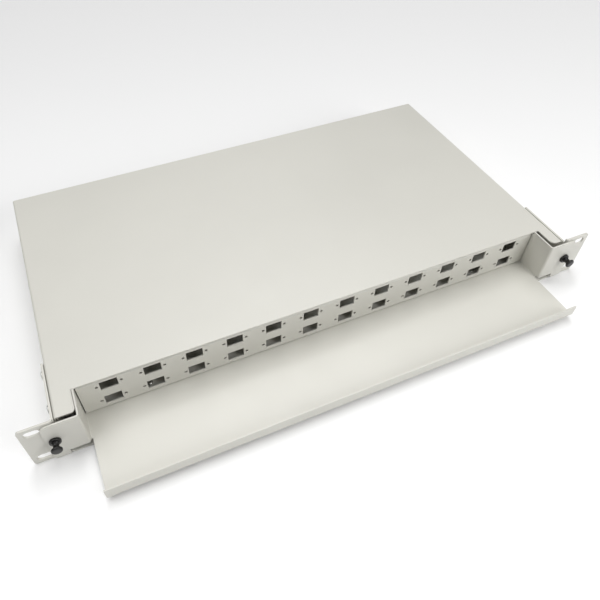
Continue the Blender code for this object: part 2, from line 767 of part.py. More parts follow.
def make_latch(label, side, parts, cutters, nylon):
    """Split grommet in the flange and the spool-shaped plunger in it."""
    x = side * LATCH_X
    face = depth_y(-GAP - SHEET)
    bore = 1.25 * MM
    head = 1.9 * MM
    tip = -(GAP + SHEET + EAR_THICK + 7 * MM)
    grommet = turned("latch_grommet_" + label, [
        (bore, GAP + head),
        (3.5 * MM, GAP + head),
        (4.2 * MM, GAP + head - 0.7 * MM),
        (4.2 * MM, GAP),
        (SLEEVE_RADIUS, GAP),
        (SLEEVE_RADIUS, tip + 1 * MM),
        (SLEEVE_RADIUS - 0.4 * MM, tip),
        (bore, tip),
    ], (x, face, LATCH_Z), (0, -1, 0), parts, nylon, 20)
    split = block_cutters("grommet_split_" + label, [(
        (x - 3 * MM, face + 2.6 * MM, LATCH_Z - 0.3 * MM),
        (x + 3 * MM, face - tip + 1 * MM, LATCH_Z + 0.3 * MM))], cutters)
    combine(grommet, split, "DIFFERENCE")
    start = GAP + head + GAP
    pin = 1.0 * MM
    plunger = turned("latch_plunger_" + label, [
        (0.0, start + 6.4 * MM),
        (3.1 * MM, start + 6.4 * MM),
        (3.85 * MM, start + 5.9 * MM),
        (3.95 * MM, start + 4.7 * MM),
        (3.2 * MM, start + 4.0 * MM),
        (2.4 * MM, start + 3.2 * MM),
        (2.1 * MM, start + 2.1 * MM),
        (2.3 * MM, start + 1.1 * MM),
        (3.0 * MM, start),
        (pin, start),
        (pin, tip + 1.5 * MM),
        (0.0, tip + 1.0 * MM),
    ], (x, face, LATCH_Z), (0, -1, 0), parts, nylon, 20)
    return grommet, plunger


# ------------------------------------------------------- splice cassettes

def make_cassette(name, bottom, parts, cutters, plastic):
    """Shallow splice tray with round corners and fibre entries."""
    half_x = CASSETTE_WIDTH / 2
    half_y = CASSETTE_DEPTH / 2
    middle = depth_y(CASSETTE_MID)
    corner = CASSETTE_CORNER
    outer = rectangle(-half_x, middle - half_y, half_x, middle + half_y, corner)
    bolt = circle(0.0, middle, 3.0 * MM, 12)
    tray = prism(name, [outer, bolt], bottom, bottom + CASSETTE_HEIGHT, ALONG_Z, parts, plastic)
    wall = CASSETTE_WALL
    inner = rectangle(-half_x + wall, middle - half_y + wall, half_x - wall, middle + half_y - wall,
                      corner - wall)
    boss = circle(0.0, middle, 5.0 * MM, 12)
    top = bottom + CASSETTE_HEIGHT
    hollow = prism(name + "_hollow", [inner, boss], bottom + wall, top + 3 * MM, ALONG_Z, cutters)
    combine(tray, hollow, "DIFFERENCE")
    entries = []
    for side in (-1, 1):
        for y in (middle - 30 * MM, middle + 30 * MM):
            ends = sorted((side * (half_x - 4 * MM), side * (half_x + 4 * MM)))
            entries.append(((ends[0], y - 6 * MM, bottom + 3 * MM), (ends[1], y + 6 * MM, top + 3 * MM)))
    combine(tray, block_cutters(name + "_entries", entries, cutters), "DIFFERENCE")
    return tray


def make_splice_holder(name, bottom, parts, plastic):
    """Comb with one groove for each splice."""
    width = SPLICE_PITCH * SPLICES + 1.8 * MM
    front = depth_y(CASSETTE_MID) - 46 * MM
    base = bottom + CASSETTE_WALL + GAP
    top = base + 5.2 * MM
    groove = base + 1.6 * MM
    comb = [(front, base), (front + width, base), (front + width, top)]
    for splice in reversed(range(SPLICES)):
        start = front + 1.4 * MM + splice * SPLICE_PITCH
        comb += [(start + 1.6 * MM, top), (start + 1.6 * MM, groove), (start, groove), (start, top)]
    comb.append((front, top))
    return prism(name, [comb], -24 * MM, 24 * MM, ALONG_X, parts, plastic)


def make_cassette_fixing(parts, cutters, clear, zinc, nylon):
    """Cover plate, stud and wing nut that hold the cassettes."""
    half_x = CASSETTE_WIDTH / 2
    half_y = CASSETTE_DEPTH / 2
    middle = depth_y(CASSETTE_MID)
    top = CASSETTE_BOTTOMS[-1] + CASSETTE_HEIGHT + GAP
    outer = rectangle(-half_x, middle - half_y, half_x, middle + half_y, CASSETTE_CORNER)
    hole = circle(0.0, middle, 3.0 * MM, 12)
    cover = prism("cassette_cover", [outer, hole], top, top + 1.5 * MM, ALONG_Z, parts, clear)
    stud_top = 35.0 * MM
    stud = turned("cassette_stud", [
        (0.0, stud_top),
        (1.9 * MM, stud_top),
        (STUD_RADIUS, stud_top - 0.5 * MM),
        (STUD_RADIUS, TRAY_SURFACE + GAP),
        (0.0, TRAY_SURFACE + GAP),
    ], (0, middle, 0), (0, 0, 1), parts, zinc, 12)
    seat = top + 1.5 * MM + GAP
    bore = STUD_RADIUS + GAP
    nut = turned("cassette_wing_nut", [
        (bore, seat + 7 * MM),
        (4.0 * MM, seat + 7 * MM),
        (6.0 * MM, seat + 1 * MM),
        (6.0 * MM, seat),
        (bore, seat),
    ], (0, middle, 0), (0, 0, 1), parts, nylon)
    for label, side in SIDES:
        wing = rounded([
            (4.2 * MM, seat + 1 * MM),
            (5.4 * MM, seat + 1 * MM),
            (13.0 * MM, seat + 4 * MM, 2.0 * MM),
            (13.0 * MM, seat + 10 * MM, 2.5 * MM),
            (8.5 * MM, seat + 10 * MM, 2.0 * MM),
            (3.6 * MM, seat + 5 * MM),
        ], 3)
        blade = prism("wing_" + label, [mirrored(wing, side)], middle - 1 * MM, middle + 1 * MM,
                      ALONG_Y, cutters)
        combine(nut, blade, "UNION")
    return [cover, stud, nut]


# ----------------------------------------------------- cable management

ANCHOR_DEPTH = 224.0 * MM


def make_tie_mount(name, x, depth, parts, cutters, nylon):
    """Self-adhesive mount with a crossing tunnel for a cable tie."""
    y = depth_y(depth)
    low = TRAY_SURFACE + GAP
    half = 9.5 * MM
    mount = box(name, (x - half, y - half, low), (x + half, y + half, low + 4.2 * MM), parts, nylon)
    tunnel = block_cutters(name + "_tunnels", [
        ((x - half - 1 * MM, y - 2.5 * MM, low + 1.4 * MM), (x + half + 1 * MM, y + 2.5 * MM, low + 3 * MM)),
    ], cutters)
    return combine(mount, tunnel, "DIFFERENCE")


def make_anchor(label, side, parts, zinc):
    """Clamp plate and screw for a cable's strength member."""
    x = side * 150 * MM
    y = depth_y(ANCHOR_DEPTH)
    low = TRAY_SURFACE + GAP
    plate_top = low + 1.5 * MM
    outline = rectangle(x - 9 * MM, y - 6 * MM, x + 9 * MM, y + 6 * MM, 1.5 * MM)
    hole = circle(x, y, 1.8 * MM, 12)
    plate = prism("anchor_plate_" + label, [outline, hole], low, plate_top, ALONG_Z, parts, zinc)
    profile = screw_profile(3.4 * MM, 2.2 * MM, 1.4 * MM, 3.0 * MM)
    screw = turned("anchor_screw_" + label, profile, (x, y, plate_top + GAP), (0, 0, 1), parts, zinc, 12)
    return [plate, screw]


# -------------------------------------------------------------- assembly

def build_housing(parts, cutters, mats):
    """Everything that stays with the rack."""
    anchor = new_anchor("housing_frame", (0, 0, 0), parts)
    pieces = [
        make_top_cover(parts, cutters, mats["paint"]),
        make_base_pan(parts, cutters, mats["paint"]),
    ]
    for label, side in SIDES:
        pieces.append(make_ear_bracket("ear_bracket_" + label, side, parts, cutters, mats["paint"]))
        pieces.append(make_guide_rail("guide_rail_" + label, side, parts, cutters, mats["zinc"]))
        pieces.append(make_glide_pad("glide_pad_" + label, side, parts, mats["white_nylon"]))
    for number, x in enumerate(ENTRY_XS, 1):
        pieces.append(make_entry_plug("cable_entry_plug_" + str(number), x, parts, mats["rubber"]))
    pieces += make_earth_point(parts, mats["zinc"], cutters)
    pieces += make_side_screws(parts, mats["zinc"])
    attach(pieces, anchor)


def build_drawer(parts, cutters, mats):
    """Everything that slides out, and the two latch plungers on it."""
    anchor = new_anchor("drawer_frame", (0, EAR_Y, TRAY_FLOOR), parts)
    pieces = [
        make_drawer_tray(parts, cutters, mats["paint"]),
        make_adapter_panel(parts, cutters, mats["paint"]),
    ]
    pieces += make_panel_screws(parts, mats["zinc"])
    for label, side in SIDES:
        runner = make_runner("runner_" + label, side, parts, mats["white_nylon"])
        pieces.append(make_runner_pegs(runner, side, cutters))
        grommet, plunger = make_latch(label, side, parts, cutters, mats["black_nylon"])
        pieces.append(grommet)
        latch = new_anchor("latch_frame_" + label, (side * LATCH_X, EAR_Y, LATCH_Z), parts, anchor)
        attach([plunger], latch)
        pieces += make_anchor(label, side, parts, mats["zinc"])
        for depth, spot in ((62 * MM, "front"), (190 * MM, "rear")):
            name = "tie_mount_" + label + "_" + spot
            pieces.append(make_tie_mount(name, side * 150 * MM, depth, parts, cutters,
                                         mats["white_nylon"]))
    for level, bottom in zip(("lower", "upper"), CASSETTE_BOTTOMS):
        pieces.append(make_cassette("splice_cassette_" + level, bottom, parts, cutters, mats["abs"]))
        pieces.append(make_splice_holder("splice_holder_" + level, bottom, parts, mats["abs"]))
    pieces += make_cassette_fixing(parts, cutters, mats["clear"], mats["zinc"], mats["white_nylon"])
    attach(pieces, anchor)


def main():
    """Build the whole box."""
    clear_scene()
    parts = new_collection("fiber_termination_box")
    cutters = new_collection("cutters")
    mats = {
        "paint": new_material("powder_coat", (0.66, 0.65, 0.59), 0.55),
        "zinc": new_material("zinc_plate", (0.62, 0.63, 0.65), 0.35, 1.0),
        "black_nylon": new_material("black_nylon", (0.012, 0.011, 0.010), 0.4),
        "white_nylon": new_material("white_nylon", (0.80, 0.80, 0.77), 0.5),
        "rubber": new_material("rubber", (0.03, 0.03, 0.03), 0.8),
        "abs": new_material("abs_plastic", (0.72, 0.73, 0.72), 0.45),
        "clear": new_material("clear_plastic", (0.80, 0.85, 0.88), 0.15),
    }
    build_housing(parts, cutters, mats)
    build_drawer(parts, cutters, mats)


main()
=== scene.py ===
"""Looks of the sliding fibre termination box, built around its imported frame.

Metres, +Z up, +Y to the back.  Every sheet, screw and moulding is rebuilt as a
detailed mesh in the place its CAD node holds, and gets a node-based finish.
"""
import json
import math

import bmesh
import bpy
from mathutils import Matrix, Vector

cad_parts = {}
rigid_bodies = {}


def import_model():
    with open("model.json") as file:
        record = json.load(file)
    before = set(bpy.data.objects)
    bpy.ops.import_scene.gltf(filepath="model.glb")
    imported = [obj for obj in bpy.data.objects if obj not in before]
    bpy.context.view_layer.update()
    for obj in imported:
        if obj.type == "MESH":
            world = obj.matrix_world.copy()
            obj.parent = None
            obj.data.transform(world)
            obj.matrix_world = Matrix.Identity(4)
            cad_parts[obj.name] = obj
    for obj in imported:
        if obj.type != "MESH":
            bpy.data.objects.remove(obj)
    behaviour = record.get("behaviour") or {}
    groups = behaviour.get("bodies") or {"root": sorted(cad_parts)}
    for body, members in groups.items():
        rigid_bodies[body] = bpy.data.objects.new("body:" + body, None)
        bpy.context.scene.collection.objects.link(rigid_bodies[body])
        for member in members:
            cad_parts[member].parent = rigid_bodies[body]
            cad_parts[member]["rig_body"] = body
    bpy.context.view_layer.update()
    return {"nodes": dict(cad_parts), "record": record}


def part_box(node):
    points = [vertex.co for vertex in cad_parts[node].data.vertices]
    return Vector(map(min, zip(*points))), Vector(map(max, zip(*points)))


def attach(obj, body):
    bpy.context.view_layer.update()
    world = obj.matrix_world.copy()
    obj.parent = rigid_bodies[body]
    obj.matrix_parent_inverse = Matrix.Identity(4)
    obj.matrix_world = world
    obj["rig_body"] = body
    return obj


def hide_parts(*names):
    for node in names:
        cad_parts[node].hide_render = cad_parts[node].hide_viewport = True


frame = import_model()

MM = 0.001
SLOT_OF = {row["node"]: row["material_slot"] for row in frame["record"]["subparts"]}
SIDES = (("left", -1), ("right", 1))

# Places read from the frame
EAR_LOW, EAR_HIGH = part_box("ear_bracket_right")
COVER_LOW, COVER_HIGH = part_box("top_cover")
PAN_LOW, PAN_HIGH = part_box("base_pan")
TRAY_LOW, TRAY_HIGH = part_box("drawer_tray")
PANEL_LOW, PANEL_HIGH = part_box("adapter_panel")

# Folded sheet: thickness, running clearance, outer and inner bend radius, broken edge
SHEET = 1.2 * MM
GAP = 0.3 * MM
BEND_OUT = 2.0 * MM
BEND_IN = 0.8 * MM
EDGE = 0.18 * MM

# Rack ears: the front face is at EAR_Y, the leg stands against the housing
EAR_Y = EAR_LOW.y
EAR_THICK = 1.6 * MM
LEG_IN = EAR_LOW.x
LEG_OUT = LEG_IN + EAR_THICK
LEG_TOP = 40.5 * MM
LEG_STEP = 2.2 * MM
SLOT_X = 232.55 * MM
SLOT_RISE = 15.875 * MM
SLOT_RADIUS = 3.3 * MM
SLOT_REACH = 2.2 * MM

# Screws: depths behind the ears, heights, and sizes as
# (head radius, head height, shank radius, length, sunk depth)
EAR_SCREW_DEPTHS = (16.5 * MM, 46.5 * MM)
EAR_SCREW_HEIGHTS = (34.0 * MM, 10.0 * MM)
COVER_SCREW_DEPTHS = (110.0 * MM, 225.0 * MM)
COVER_SCREW_Z = 35.0 * MM
PANEL_SCREW_XS = (-150.0 * MM, 0.0, 150.0 * MM)
PANEL_SCREW_DEPTH = 30 * MM
ANCHOR_X = 150.0 * MM
ANCHOR_DEPTH = 224 * MM
SEAT = 0.05 * MM
EAR_SCREW = (3.8 * MM, 1.9 * MM, 1.9 * MM, 6.2 * MM, 0.0)
COVER_SCREW = (2.8 * MM, 0.0, 1.4 * MM, 4.8 * MM, 1.1 * MM)
PANEL_SCREW = (2.8 * MM, 1.9 * MM, 1.4 * MM, 3.0 * MM, 0.0)
ANCHOR_SCREW = (3.4 * MM, 2.2 * MM, 1.4 * MM, 3.2 * MM, 0.0)

# Radii of round holes
M4_HOLE = 2.3 * MM
M3_HOLE = 1.8 * MM
FLUSH_HOLE = 3.1 * MM
STUD_HOLE = 2.7 * MM
PLUG_HOLE = 10.25 * MM
GROMMET_HOLE = 2.25 * MM
LATCH_HOLE = 2.5 * MM
FIXING_HOLE = 1.25 * MM

# Housing: edges of the cover's notch with the radii beside it, pan's side fronts
NOTCH_LEFT = -202.3 * MM
NOTCH_RIGHT = 206.4 * MM
NOTCH_TURN_LEFT = 3.0 * MM
NOTCH_TURN_RIGHT = 5.0 * MM
PAN_FRONT = 5.0 * MM

# Drawer: walls, shelf, lips and flanges
WALL_IN = 200.6 * MM
WALL_OUT = WALL_IN + SHEET
WALL_TOP = 39.2 * MM
SHELF_HALF = 199.5 * MM
TRAY_FLOOR = TRAY_LOW.z + 3.0 * MM
LIP_TOP = 15 * MM
STOP_TOP = 12 * MM
RELIEF_TOP = 5.3 * MM
RELIEF_OUT = 215.9 * MM
PEG_Z = 22 * MM

# Latches in the flanges
LATCH_X = 221.5 * MM
LATCH_Z = sum(corner.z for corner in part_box("latch_plunger_right")) / 2

# Adapter panel: cut-outs and the screw holes beside each
WINDOW_COLUMNS = 12
WINDOW_PITCH = 32.25 * MM
WINDOW_ROWS = (32.2 * MM, 14.2 * MM)
WINDOW_HALF = (6.5 * MM, 4.75 * MM)
WINDOW_FIXINGS = (-9.0 * MM, 9.0 * MM)

# Studio: (name, place, target, size, watts) and (name, direction, degrees, strength);
# the camera's turn is (azimuth, elevation, roll) in degrees
SOFT_BOXES = (
    ("front_right", (0.85, -1.4, 0.8), (0.1, -0.1, 0.0), 0.9, 9.8),
    ("near_right", (0.3, -0.5, 0.55), (0.0, -0.1, 0.0), 0.3, 0.9),
    ("left", (-0.5, -0.2, 0.7), (0.0, -0.05, 0.0), 0.4, 1.45))
SUNS = (
    ("overhead_right", (0.3, 0.3, 1.3), 42.0, 1.1),
    ("overhead_left", (-0.4, 0.3, 0.9), 28.0, 0.55),
    ("behind", (0.2, 0.6, 0.8), 28.0, 0.5))
FLOOR_HALF = 6.0
FLOOR_Z = -0.2 * MM
FILL_LIGHT = 0.08
SURROUND = 0.85
CAMERA_TURN = (-23.104, 47.746, -0.198)
CAMERA_PLACE = (-155.22 * MM, EAR_Y - 227.72 * MM, 384.11 * MM)
CAMERA_LENS = 34.183
CAMERA_SHIFT = (0.0441, -0.0298)


# --------------------------------------------------------------- outlines

def arc(cx, cy, radius, start, end, steps):
    """Points of an arc, angles in degrees."""
    turn = [math.radians(start + (end - start) * k / steps) for k in range(steps + 1)]
    return [(cx + radius * math.cos(a), cy + radius * math.sin(a)) for a in turn]


def rounded(corners, steps=8):
    """Closed outline through (x, y) or (x, y, radius) corners."""
    points = []
    for index, corner in enumerate(corners):
        here = Vector(corner[:2])
        if len(corner) == 2:
            points.append(tuple(here))
            continue
        back = (Vector(corners[index - 1][:2]) - here).normalized()
        ahead = (Vector(corners[(index + 1) % len(corners)][:2]) - here).normalized()
        half = back.angle(ahead) / 2
        centre = here + (back + ahead).normalized() * corner[2] / math.sin(half)
        first = here + back * corner[2] / math.tan(half) - centre
        last = here + ahead * corner[2] / math.tan(half) - centre
        start = math.degrees(math.atan2(first.y, first.x))
        turn = math.degrees(math.atan2(first.cross(last), first.dot(last)))
        points += arc(centre.x, centre.y, corner[2], start, start + turn, steps)
    return points


def rectangle(x0, y0, x1, y1, radius, steps=8):
    """Outline of a rectangle with rounded corners."""
    return rounded([(x, y, radius) for x, y in ((x0, y0), (x1, y0), (x1, y1), (x0, y1))], steps)


def circle(cx, cy, radius, steps=32):
    """Outline of a circle."""
    return arc(cx, cy, radius, 0.0, 360.0, steps)[:-1]


def mirrored(outline, side):
    """The outline on the right, its mirror image on the left."""
    return outline if side > 0 else [(-x, y) for x, y in reversed(outline)]


# ----------------------------------------------------------------- meshes

ALONG = {
    "X": lambda u, v, w: (w, u, v),
    "Y": lambda u, v, w: (u, w, v),
    "Z": lambda u, v, w: (u, v, w),
}


def new_object(name, bm):
    """An object at the origin from a bmesh."""
    mesh = bpy.data.meshes.new(name)
    bm.to_mesh(mesh)
    bm.free()
    obj = bpy.data.objects.new(name, mesh)
    bpy.context.scene.collection.objects.link(obj)
    return obj


def add_slab(bm, outline, low, high, axis):
    """A flat outline stretched from low to high along an axis."""
    place = ALONG[axis]
    bottom = [bm.verts.new(place(u, v, low)) for u, v in outline]
    top = [bm.verts.new(place(u, v, high)) for u, v in outline]
    faces = [bm.faces.new(bottom), bm.faces.new(list(reversed(top)))]
    count = len(outline)
    for k in range(count):
        j = (k + 1) % count
        faces.append(bm.faces.new((bottom[j], bottom[k], top[k], top[j])))
    bmesh.ops.recalc_face_normals(bm, faces=faces)


def slabs(name, shapes):
    """One object of several slabs: (outline, low, high, axis) each."""
    bm = bmesh.new()
    for shape in shapes:
        add_slab(bm, *shape)
    return new_object(name, bm)


def add_turned(bm, profile, steps, place):
    """A profile of (radius, height) turned about local Z, then placed."""
    rings = []
    for radius, height in profile:
        if radius < 1e-7:
            rings.append([bm.verts.new(place @ Vector((0, 0, height)))])
            continue
        ring = [place @ Vector((x, y, height)) for x, y in circle(0, 0, radius, steps)]
        rings.append([bm.verts.new(point) for point in ring])
    closed = profile[0][0] > 1e-7
    faces = []
    for a, b in zip(rings, rings[1:] + ([rings[0]] if closed else [])):
        for k in range(steps):
            j = (k + 1) % steps
            corners = [a[k % len(a)], a[j % len(a)], b[j % len(b)], b[k % len(b)]]
            unique = list(dict.fromkeys(corners))
            if len(unique) > 2:
                faces.append(bm.faces.new(unique))
    bmesh.ops.recalc_face_normals(bm, faces=faces)


def aim(place, direction):
    """Matrix that puts local Z along a direction at a place."""
    turn = Vector(direction).to_track_quat("Z", "Y").to_matrix().to_4x4()
    return Matrix.Translation(Vector(place)) @ turn


def turned(name, profile, place, direction, steps=48):
    """A turned object."""
    bm = bmesh.new()
    add_turned(bm, profile, steps, aim(place, direction))
    return new_object(name, bm)


def rods(name, items, steps=32):
    """One object of round rods: (start, end, radius) each."""
    bm = bmesh.new()
    for start, end, radius in items:
        span = Vector(end) - Vector(start)
        profile = [(0, span.length), (radius, span.length), (radius, 0), (0, 0)]
        add_turned(bm, profile, steps, aim(start, span))
    return new_object(name, bm)


def combine(obj, other, operation="DIFFERENCE"):
    """Boolean with another object, which settle() removes again."""
    other.hide_render = True
    modifier = obj.modifiers.new("boolean", "BOOLEAN")
    modifier.operation = operation
    modifier.object = other
    modifier.solver = "EXACT"
    return obj


def settle(obj, edge=0.0, segments=2, angle=32):
    """Round the edges, even out the shading and keep the result as a mesh."""
    if edge:
        bevel = obj.modifiers.new("edges", "BEVEL")
        bevel.width = edge
        bevel.segments = segments
        bevel.limit_method = "ANGLE"
        bevel.angle_limit = math.radians(angle)
        bevel.miter_outer = "MITER_ARC"
    evaluated = obj.evaluated_get(bpy.context.evaluated_depsgraph_get())
    mesh = bpy.data.meshes.new_from_object(evaluated)
    used = [m.object for m in obj.modifiers if m.type == "BOOLEAN"]
    obj.modifiers.clear()
    obj.data = mesh
    for cutter in used:
        if cutter.name in bpy.data.objects:
            bpy.data.objects.remove(cutter, do_unlink=True)
    mesh.shade_smooth()
    if edge:
        weighted = obj.modifiers.new("shading", "WEIGHTED_NORMAL")
        weighted.weight = 90
        weighted.keep_sharp = False
        evaluated = obj.evaluated_get(bpy.context.evaluated_depsgraph_get())
        obj.data = bpy.data.meshes.new_from_object(evaluated)
        obj.modifiers.clear()
    else:
        mesh.set_sharp_from_angle(angle=math.radians(angle))
    return obj


def show(obj, node):
    """The piece stands for a CAD node: same body, same slot, its finish."""
    slot = SLOT_OF[node]
    obj.name = node + "_detail"
    obj.data.name = obj.name
    obj.data.materials.clear()
    obj.data.materials.append(FINISH[slot])
    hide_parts(node)
    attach(obj, frame["nodes"][node]["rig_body"])
    return obj


# -------------------------------------------------------------- materials

class Graph:
    """A Principled material with short calls for its nodes."""

    def __init__(self, name):
        self.mat = bpy.data.materials.new(name)
        self.mat.use_nodes = True
        self.tree = self.mat.node_tree
        self.shader = self.tree.nodes["Principled BSDF"]
        self.at = self.tree.nodes.new("ShaderNodeTexCoord").outputs["Object"]

    def node(self, kind, **inputs):
        made = self.tree.nodes.new(kind)
        for key, value in inputs.items():
            self.put(made.inputs[key.replace("_", " ")], value)
        return made

    def put(self, socket, value):
        if isinstance(value, bpy.types.NodeSocket):
            self.tree.links.new(value, socket)
        else:
            socket.default_value = value

    def stretch(self, scale):
        mapping = self.node("ShaderNodeMapping", Vector=self.at, Scale=scale)
        return mapping.outputs["Vector"]

    def noise(self, scale, detail=2.0, at=None):
        made = self.node("ShaderNodeTexNoise", Vector=at or self.at, Scale=scale, Detail=detail)
        return made.outputs["Fac"]

    def span(self, value, low, high, to_low, to_high):
        made = self.tree.nodes.new("ShaderNodeMapRange")
        for key, number in zip(("Value", "From Min", "From Max", "To Min", "To Max"),
                               (value, low, high, to_low, to_high)):
            self.put(made.inputs[key], number)
        return made.outputs["Result"]

    def mix(self, factor, first, second):
        made = self.tree.nodes.new("ShaderNodeMix")
        made.data_type = "RGBA"
        for index, value in ((0, factor), (6, first), (7, second)):
            self.put(made.inputs[index], value)
        return made.outputs[2]

    def bump(self, height, distance, below=None):
        made = self.node("ShaderNodeBump", Height=height, Distance=distance, Strength=1.0)
        if below is not None:
            self.put(made.inputs["Normal"], below)
        return made.outputs["Normal"]

    def edge_wear_and_highlight(self, low, high, most):
        """Edge mask for rubbed wear and a painted edge highlight: 0 on flats, up to most on outer
        edges.
        """
        geometry = self.tree.nodes.new("ShaderNodeNewGeometry")
        return self.span(geometry.outputs["Pointiness"], low, high, 0.0, most)

    def finish(self, colour, roughness, normal, **rest):
        self.put(self.shader.inputs["Base Color"], colour)
        self.put(self.shader.inputs["Roughness"], roughness)
        self.put(self.shader.inputs["Normal"], normal)
        for key, value in rest.items():
            self.put(self.shader.inputs[key.replace("_", " ")], value)
        return self.mat


def tone(colour, factor):
    """A colour made lighter or darker."""
    return (*[channel * factor for channel in colour], 1.0)


def powder_coat(name, colour):
    """Fine-textured, half-matt powder coat on sheet steel."""
    g = Graph(name)
    drift = g.span(g.noise(7.0, 4.0), 0.35, 0.65, 0.0, 1.0)
    body = g.mix(drift, tone(colour, 0.975), tone(colour, 1.015))
    grain = g.span(g.noise(1500.0, 3.0), 0.3, 0.7, 0.0, 1.0)
    body = g.mix(g.span(grain, 0.0, 1.0, 0.0, 0.10), body, tone(colour, 0.86))
    rough = g.span(g.noise(45.0, 4.0), 0.3, 0.7, 0.33, 0.40)
    peel = g.bump(g.noise(380.0, 2.0), 0.020 * MM)
    return g.finish(body, rough, g.bump(grain, 0.006 * MM, peel), Specular_IOR_Level=0.5)


def zinc(name):
    """Bright zinc plate, faintly mottled and scratched."""
    g = Graph(name)
    mottle = g.mix(g.noise(900.0, 3.0), (0.50, 0.51, 0.52, 1.0), (0.72, 0.71, 0.66, 1.0))
    scratch = g.noise(260.0, 5.0, g.stretch((1.0, 12.0, 12.0)))
    rough = g.span(scratch, 0.3, 0.7, 0.24, 0.42)
    # Outer edges mixed lighter: partly rubbed wear, partly a painted highlight along the edges.
    body = g.mix(g.edge_wear_and_highlight(0.52, 0.62, 0.5), mottle, (0.82, 0.82, 0.82, 1.0))
    return g.finish(body, rough, g.bump(scratch, 0.006 * MM), Metallic=1.0)


def moulded(name, colour, rough, grain, depth, **rest):
    """Moulded plastic with a spark-eroded grain."""
    g = Graph(name)
    drift = g.span(g.noise(60.0, 3.0), 0.3, 0.7, 0.0, 1.0)
    body = g.mix(drift, tone(colour, 0.93), tone(colour, 1.05))
    # Outer edges mixed lighter: partly rubbed wear, partly a painted highlight along the edges.
    body = g.mix(g.edge_wear_and_highlight(0.53, 0.65, 0.4), body, tone(colour, 1.25))
    fine = g.noise(grain, 3.0)
    level = g.span(g.noise(220.0, 3.0), 0.3, 0.7, rough - 0.05, rough + 0.06)
    return g.finish(body, level, g.bump(fine, depth), **rest)


def clear_sheet(name):
    """Clear plastic sheet with faint hairline scratches."""
    g = Graph(name)
    lines = g.noise(180.0, 6.0, g.stretch((1.0, 14.0, 1.0)))
    rough = g.span(lines, 0.35, 0.75, 0.03, 0.14)
    tint = g.mix(g.noise(20.0), (0.90, 0.95, 0.96, 1.0), (0.95, 0.97, 0.97, 1.0))
    return g.finish(tint, rough, g.bump(lines, 0.002 * MM), Transmission_Weight=1.0, IOR=1.49)


PAINT = (0.665, 0.655, 0.600)
FINISH = {
    "housing_paint": powder_coat("housing_powder_coat", PAINT),
    "drawer_paint": powder_coat("drawer_powder_coat", PAINT),
    "zinc_plate": zinc("bright_zinc"),
    "black_nylon": moulded("black_nylon", (0.006, 0.0055, 0.005), 0.36, 1400.0, 0.008 * MM),
    "white_nylon": moulded("natural_nylon", (0.74, 0.73, 0.68), 0.42, 1100.0, 0.008 * MM,
                           Subsurface_Weight=0.15, Subsurface_Scale=1.0 * MM),
    "rubber": moulded("black_rubber", (0.022, 0.022, 0.023), 0.68, 700.0, 0.015 * MM),
    "cassette_abs": moulded("cassette_plastic", (0.66, 0.68, 0.68), 0.40, 1300.0, 0.010 * MM),
    "clear_cover": clear_sheet("clear_sheet"),
}


# ---------------------------------------------------------------- housing

def side_rods(radius, spots, reach):
    """Holes through both sides: (depth, height) each."""
    return [((-reach, EAR_Y + depth, height), (reach, EAR_Y + depth, height), radius)
            for depth, height in spots]


EAR_SPOTS = [(depth, height) for depth in EAR_SCREW_DEPTHS for height in EAR_SCREW_HEIGHTS]
COVER_SPOTS = [(depth, COVER_SCREW_Z) for depth in COVER_SCREW_DEPTHS]


def side_holes(name, cover_radius):
    """Holes of the ear and cover screws."""
    items = side_rods(M4_HOLE, EAR_SPOTS, LEG_OUT + 5 * MM)
    items += side_rods(cover_radius, COVER_SPOTS, COVER_HIGH.x + 5 * MM)
    return rods(name, items)


def make_top_cover():
    """Folded cover with the notch for the drawer front."""
    half, low, top = COVER_HIGH.x, COVER_LOW.z, COVER_HIGH.z
    under = top - SHEET
    section = rounded([
        (-half, low), (SHEET - half, low), (SHEET - half, under, BEND_IN),
        (half - SHEET, under, BEND_IN), (half - SHEET, low), (half, low),
        (half, top, BEND_OUT), (-half, top, BEND_OUT)])
    cover = slabs("cover", [(section, COVER_LOW.y, COVER_HIGH.y, "Y")])
    front, back = COVER_LOW.y, PANEL_LOW.y
    left, small = NOTCH_LEFT, NOTCH_TURN_LEFT
    right, large = NOTCH_RIGHT, NOTCH_TURN_RIGHT
    notch = [(left - small, front - large)] + arc(left - small, front + small, small, -90, 0, 12)
    notch += [(left, back), (right, back)]
    notch += arc(right + large, front + large, large, 180, 270, 12)
    notch += [(right + large, front - large)]
    combine(cover, slabs("notch", [(notch, under - 9 * MM, top + 9 * MM, "Z")]))
    combine(cover, side_holes("cover_holes", FLUSH_HOLE))
    return show(settle(cover, EDGE), "top_cover")


def fold_sheet(name, panels, bends, mirror=False):
    """Sheet folded from flat panels: its outer side thickened inwards.

    Bends are (test of the edge's two ends, radius) pairs.  Mirror adds the left half.
    """
    bm = bmesh.new()
    for panel in panels:
        bm.faces.new([bm.verts.new(point) for point in panel])
    bmesh.ops.remove_doubles(bm, verts=bm.verts, dist=0.01 * MM)
    for test, radius in bends:
        folds = [e for e in bm.edges if len(e.link_faces) == 2
                 and test(*[v.co for v in e.verts]) and e.calc_face_angle() > 1.0]
        bmesh.ops.bevel(bm, geom=folds, offset=radius, segments=6, affect="EDGES", profile=0.5)
    sheet = new_object(name, bm)
    if mirror:
        halves = sheet.modifiers.new("halves", "MIRROR")
        halves.merge_threshold = 0.01 * MM
    shell = sheet.modifiers.new("sheet", "SOLIDIFY")
    shell.thickness = SHEET
    shell.offset = -1.0
    shell.use_even_offset = True
    return sheet


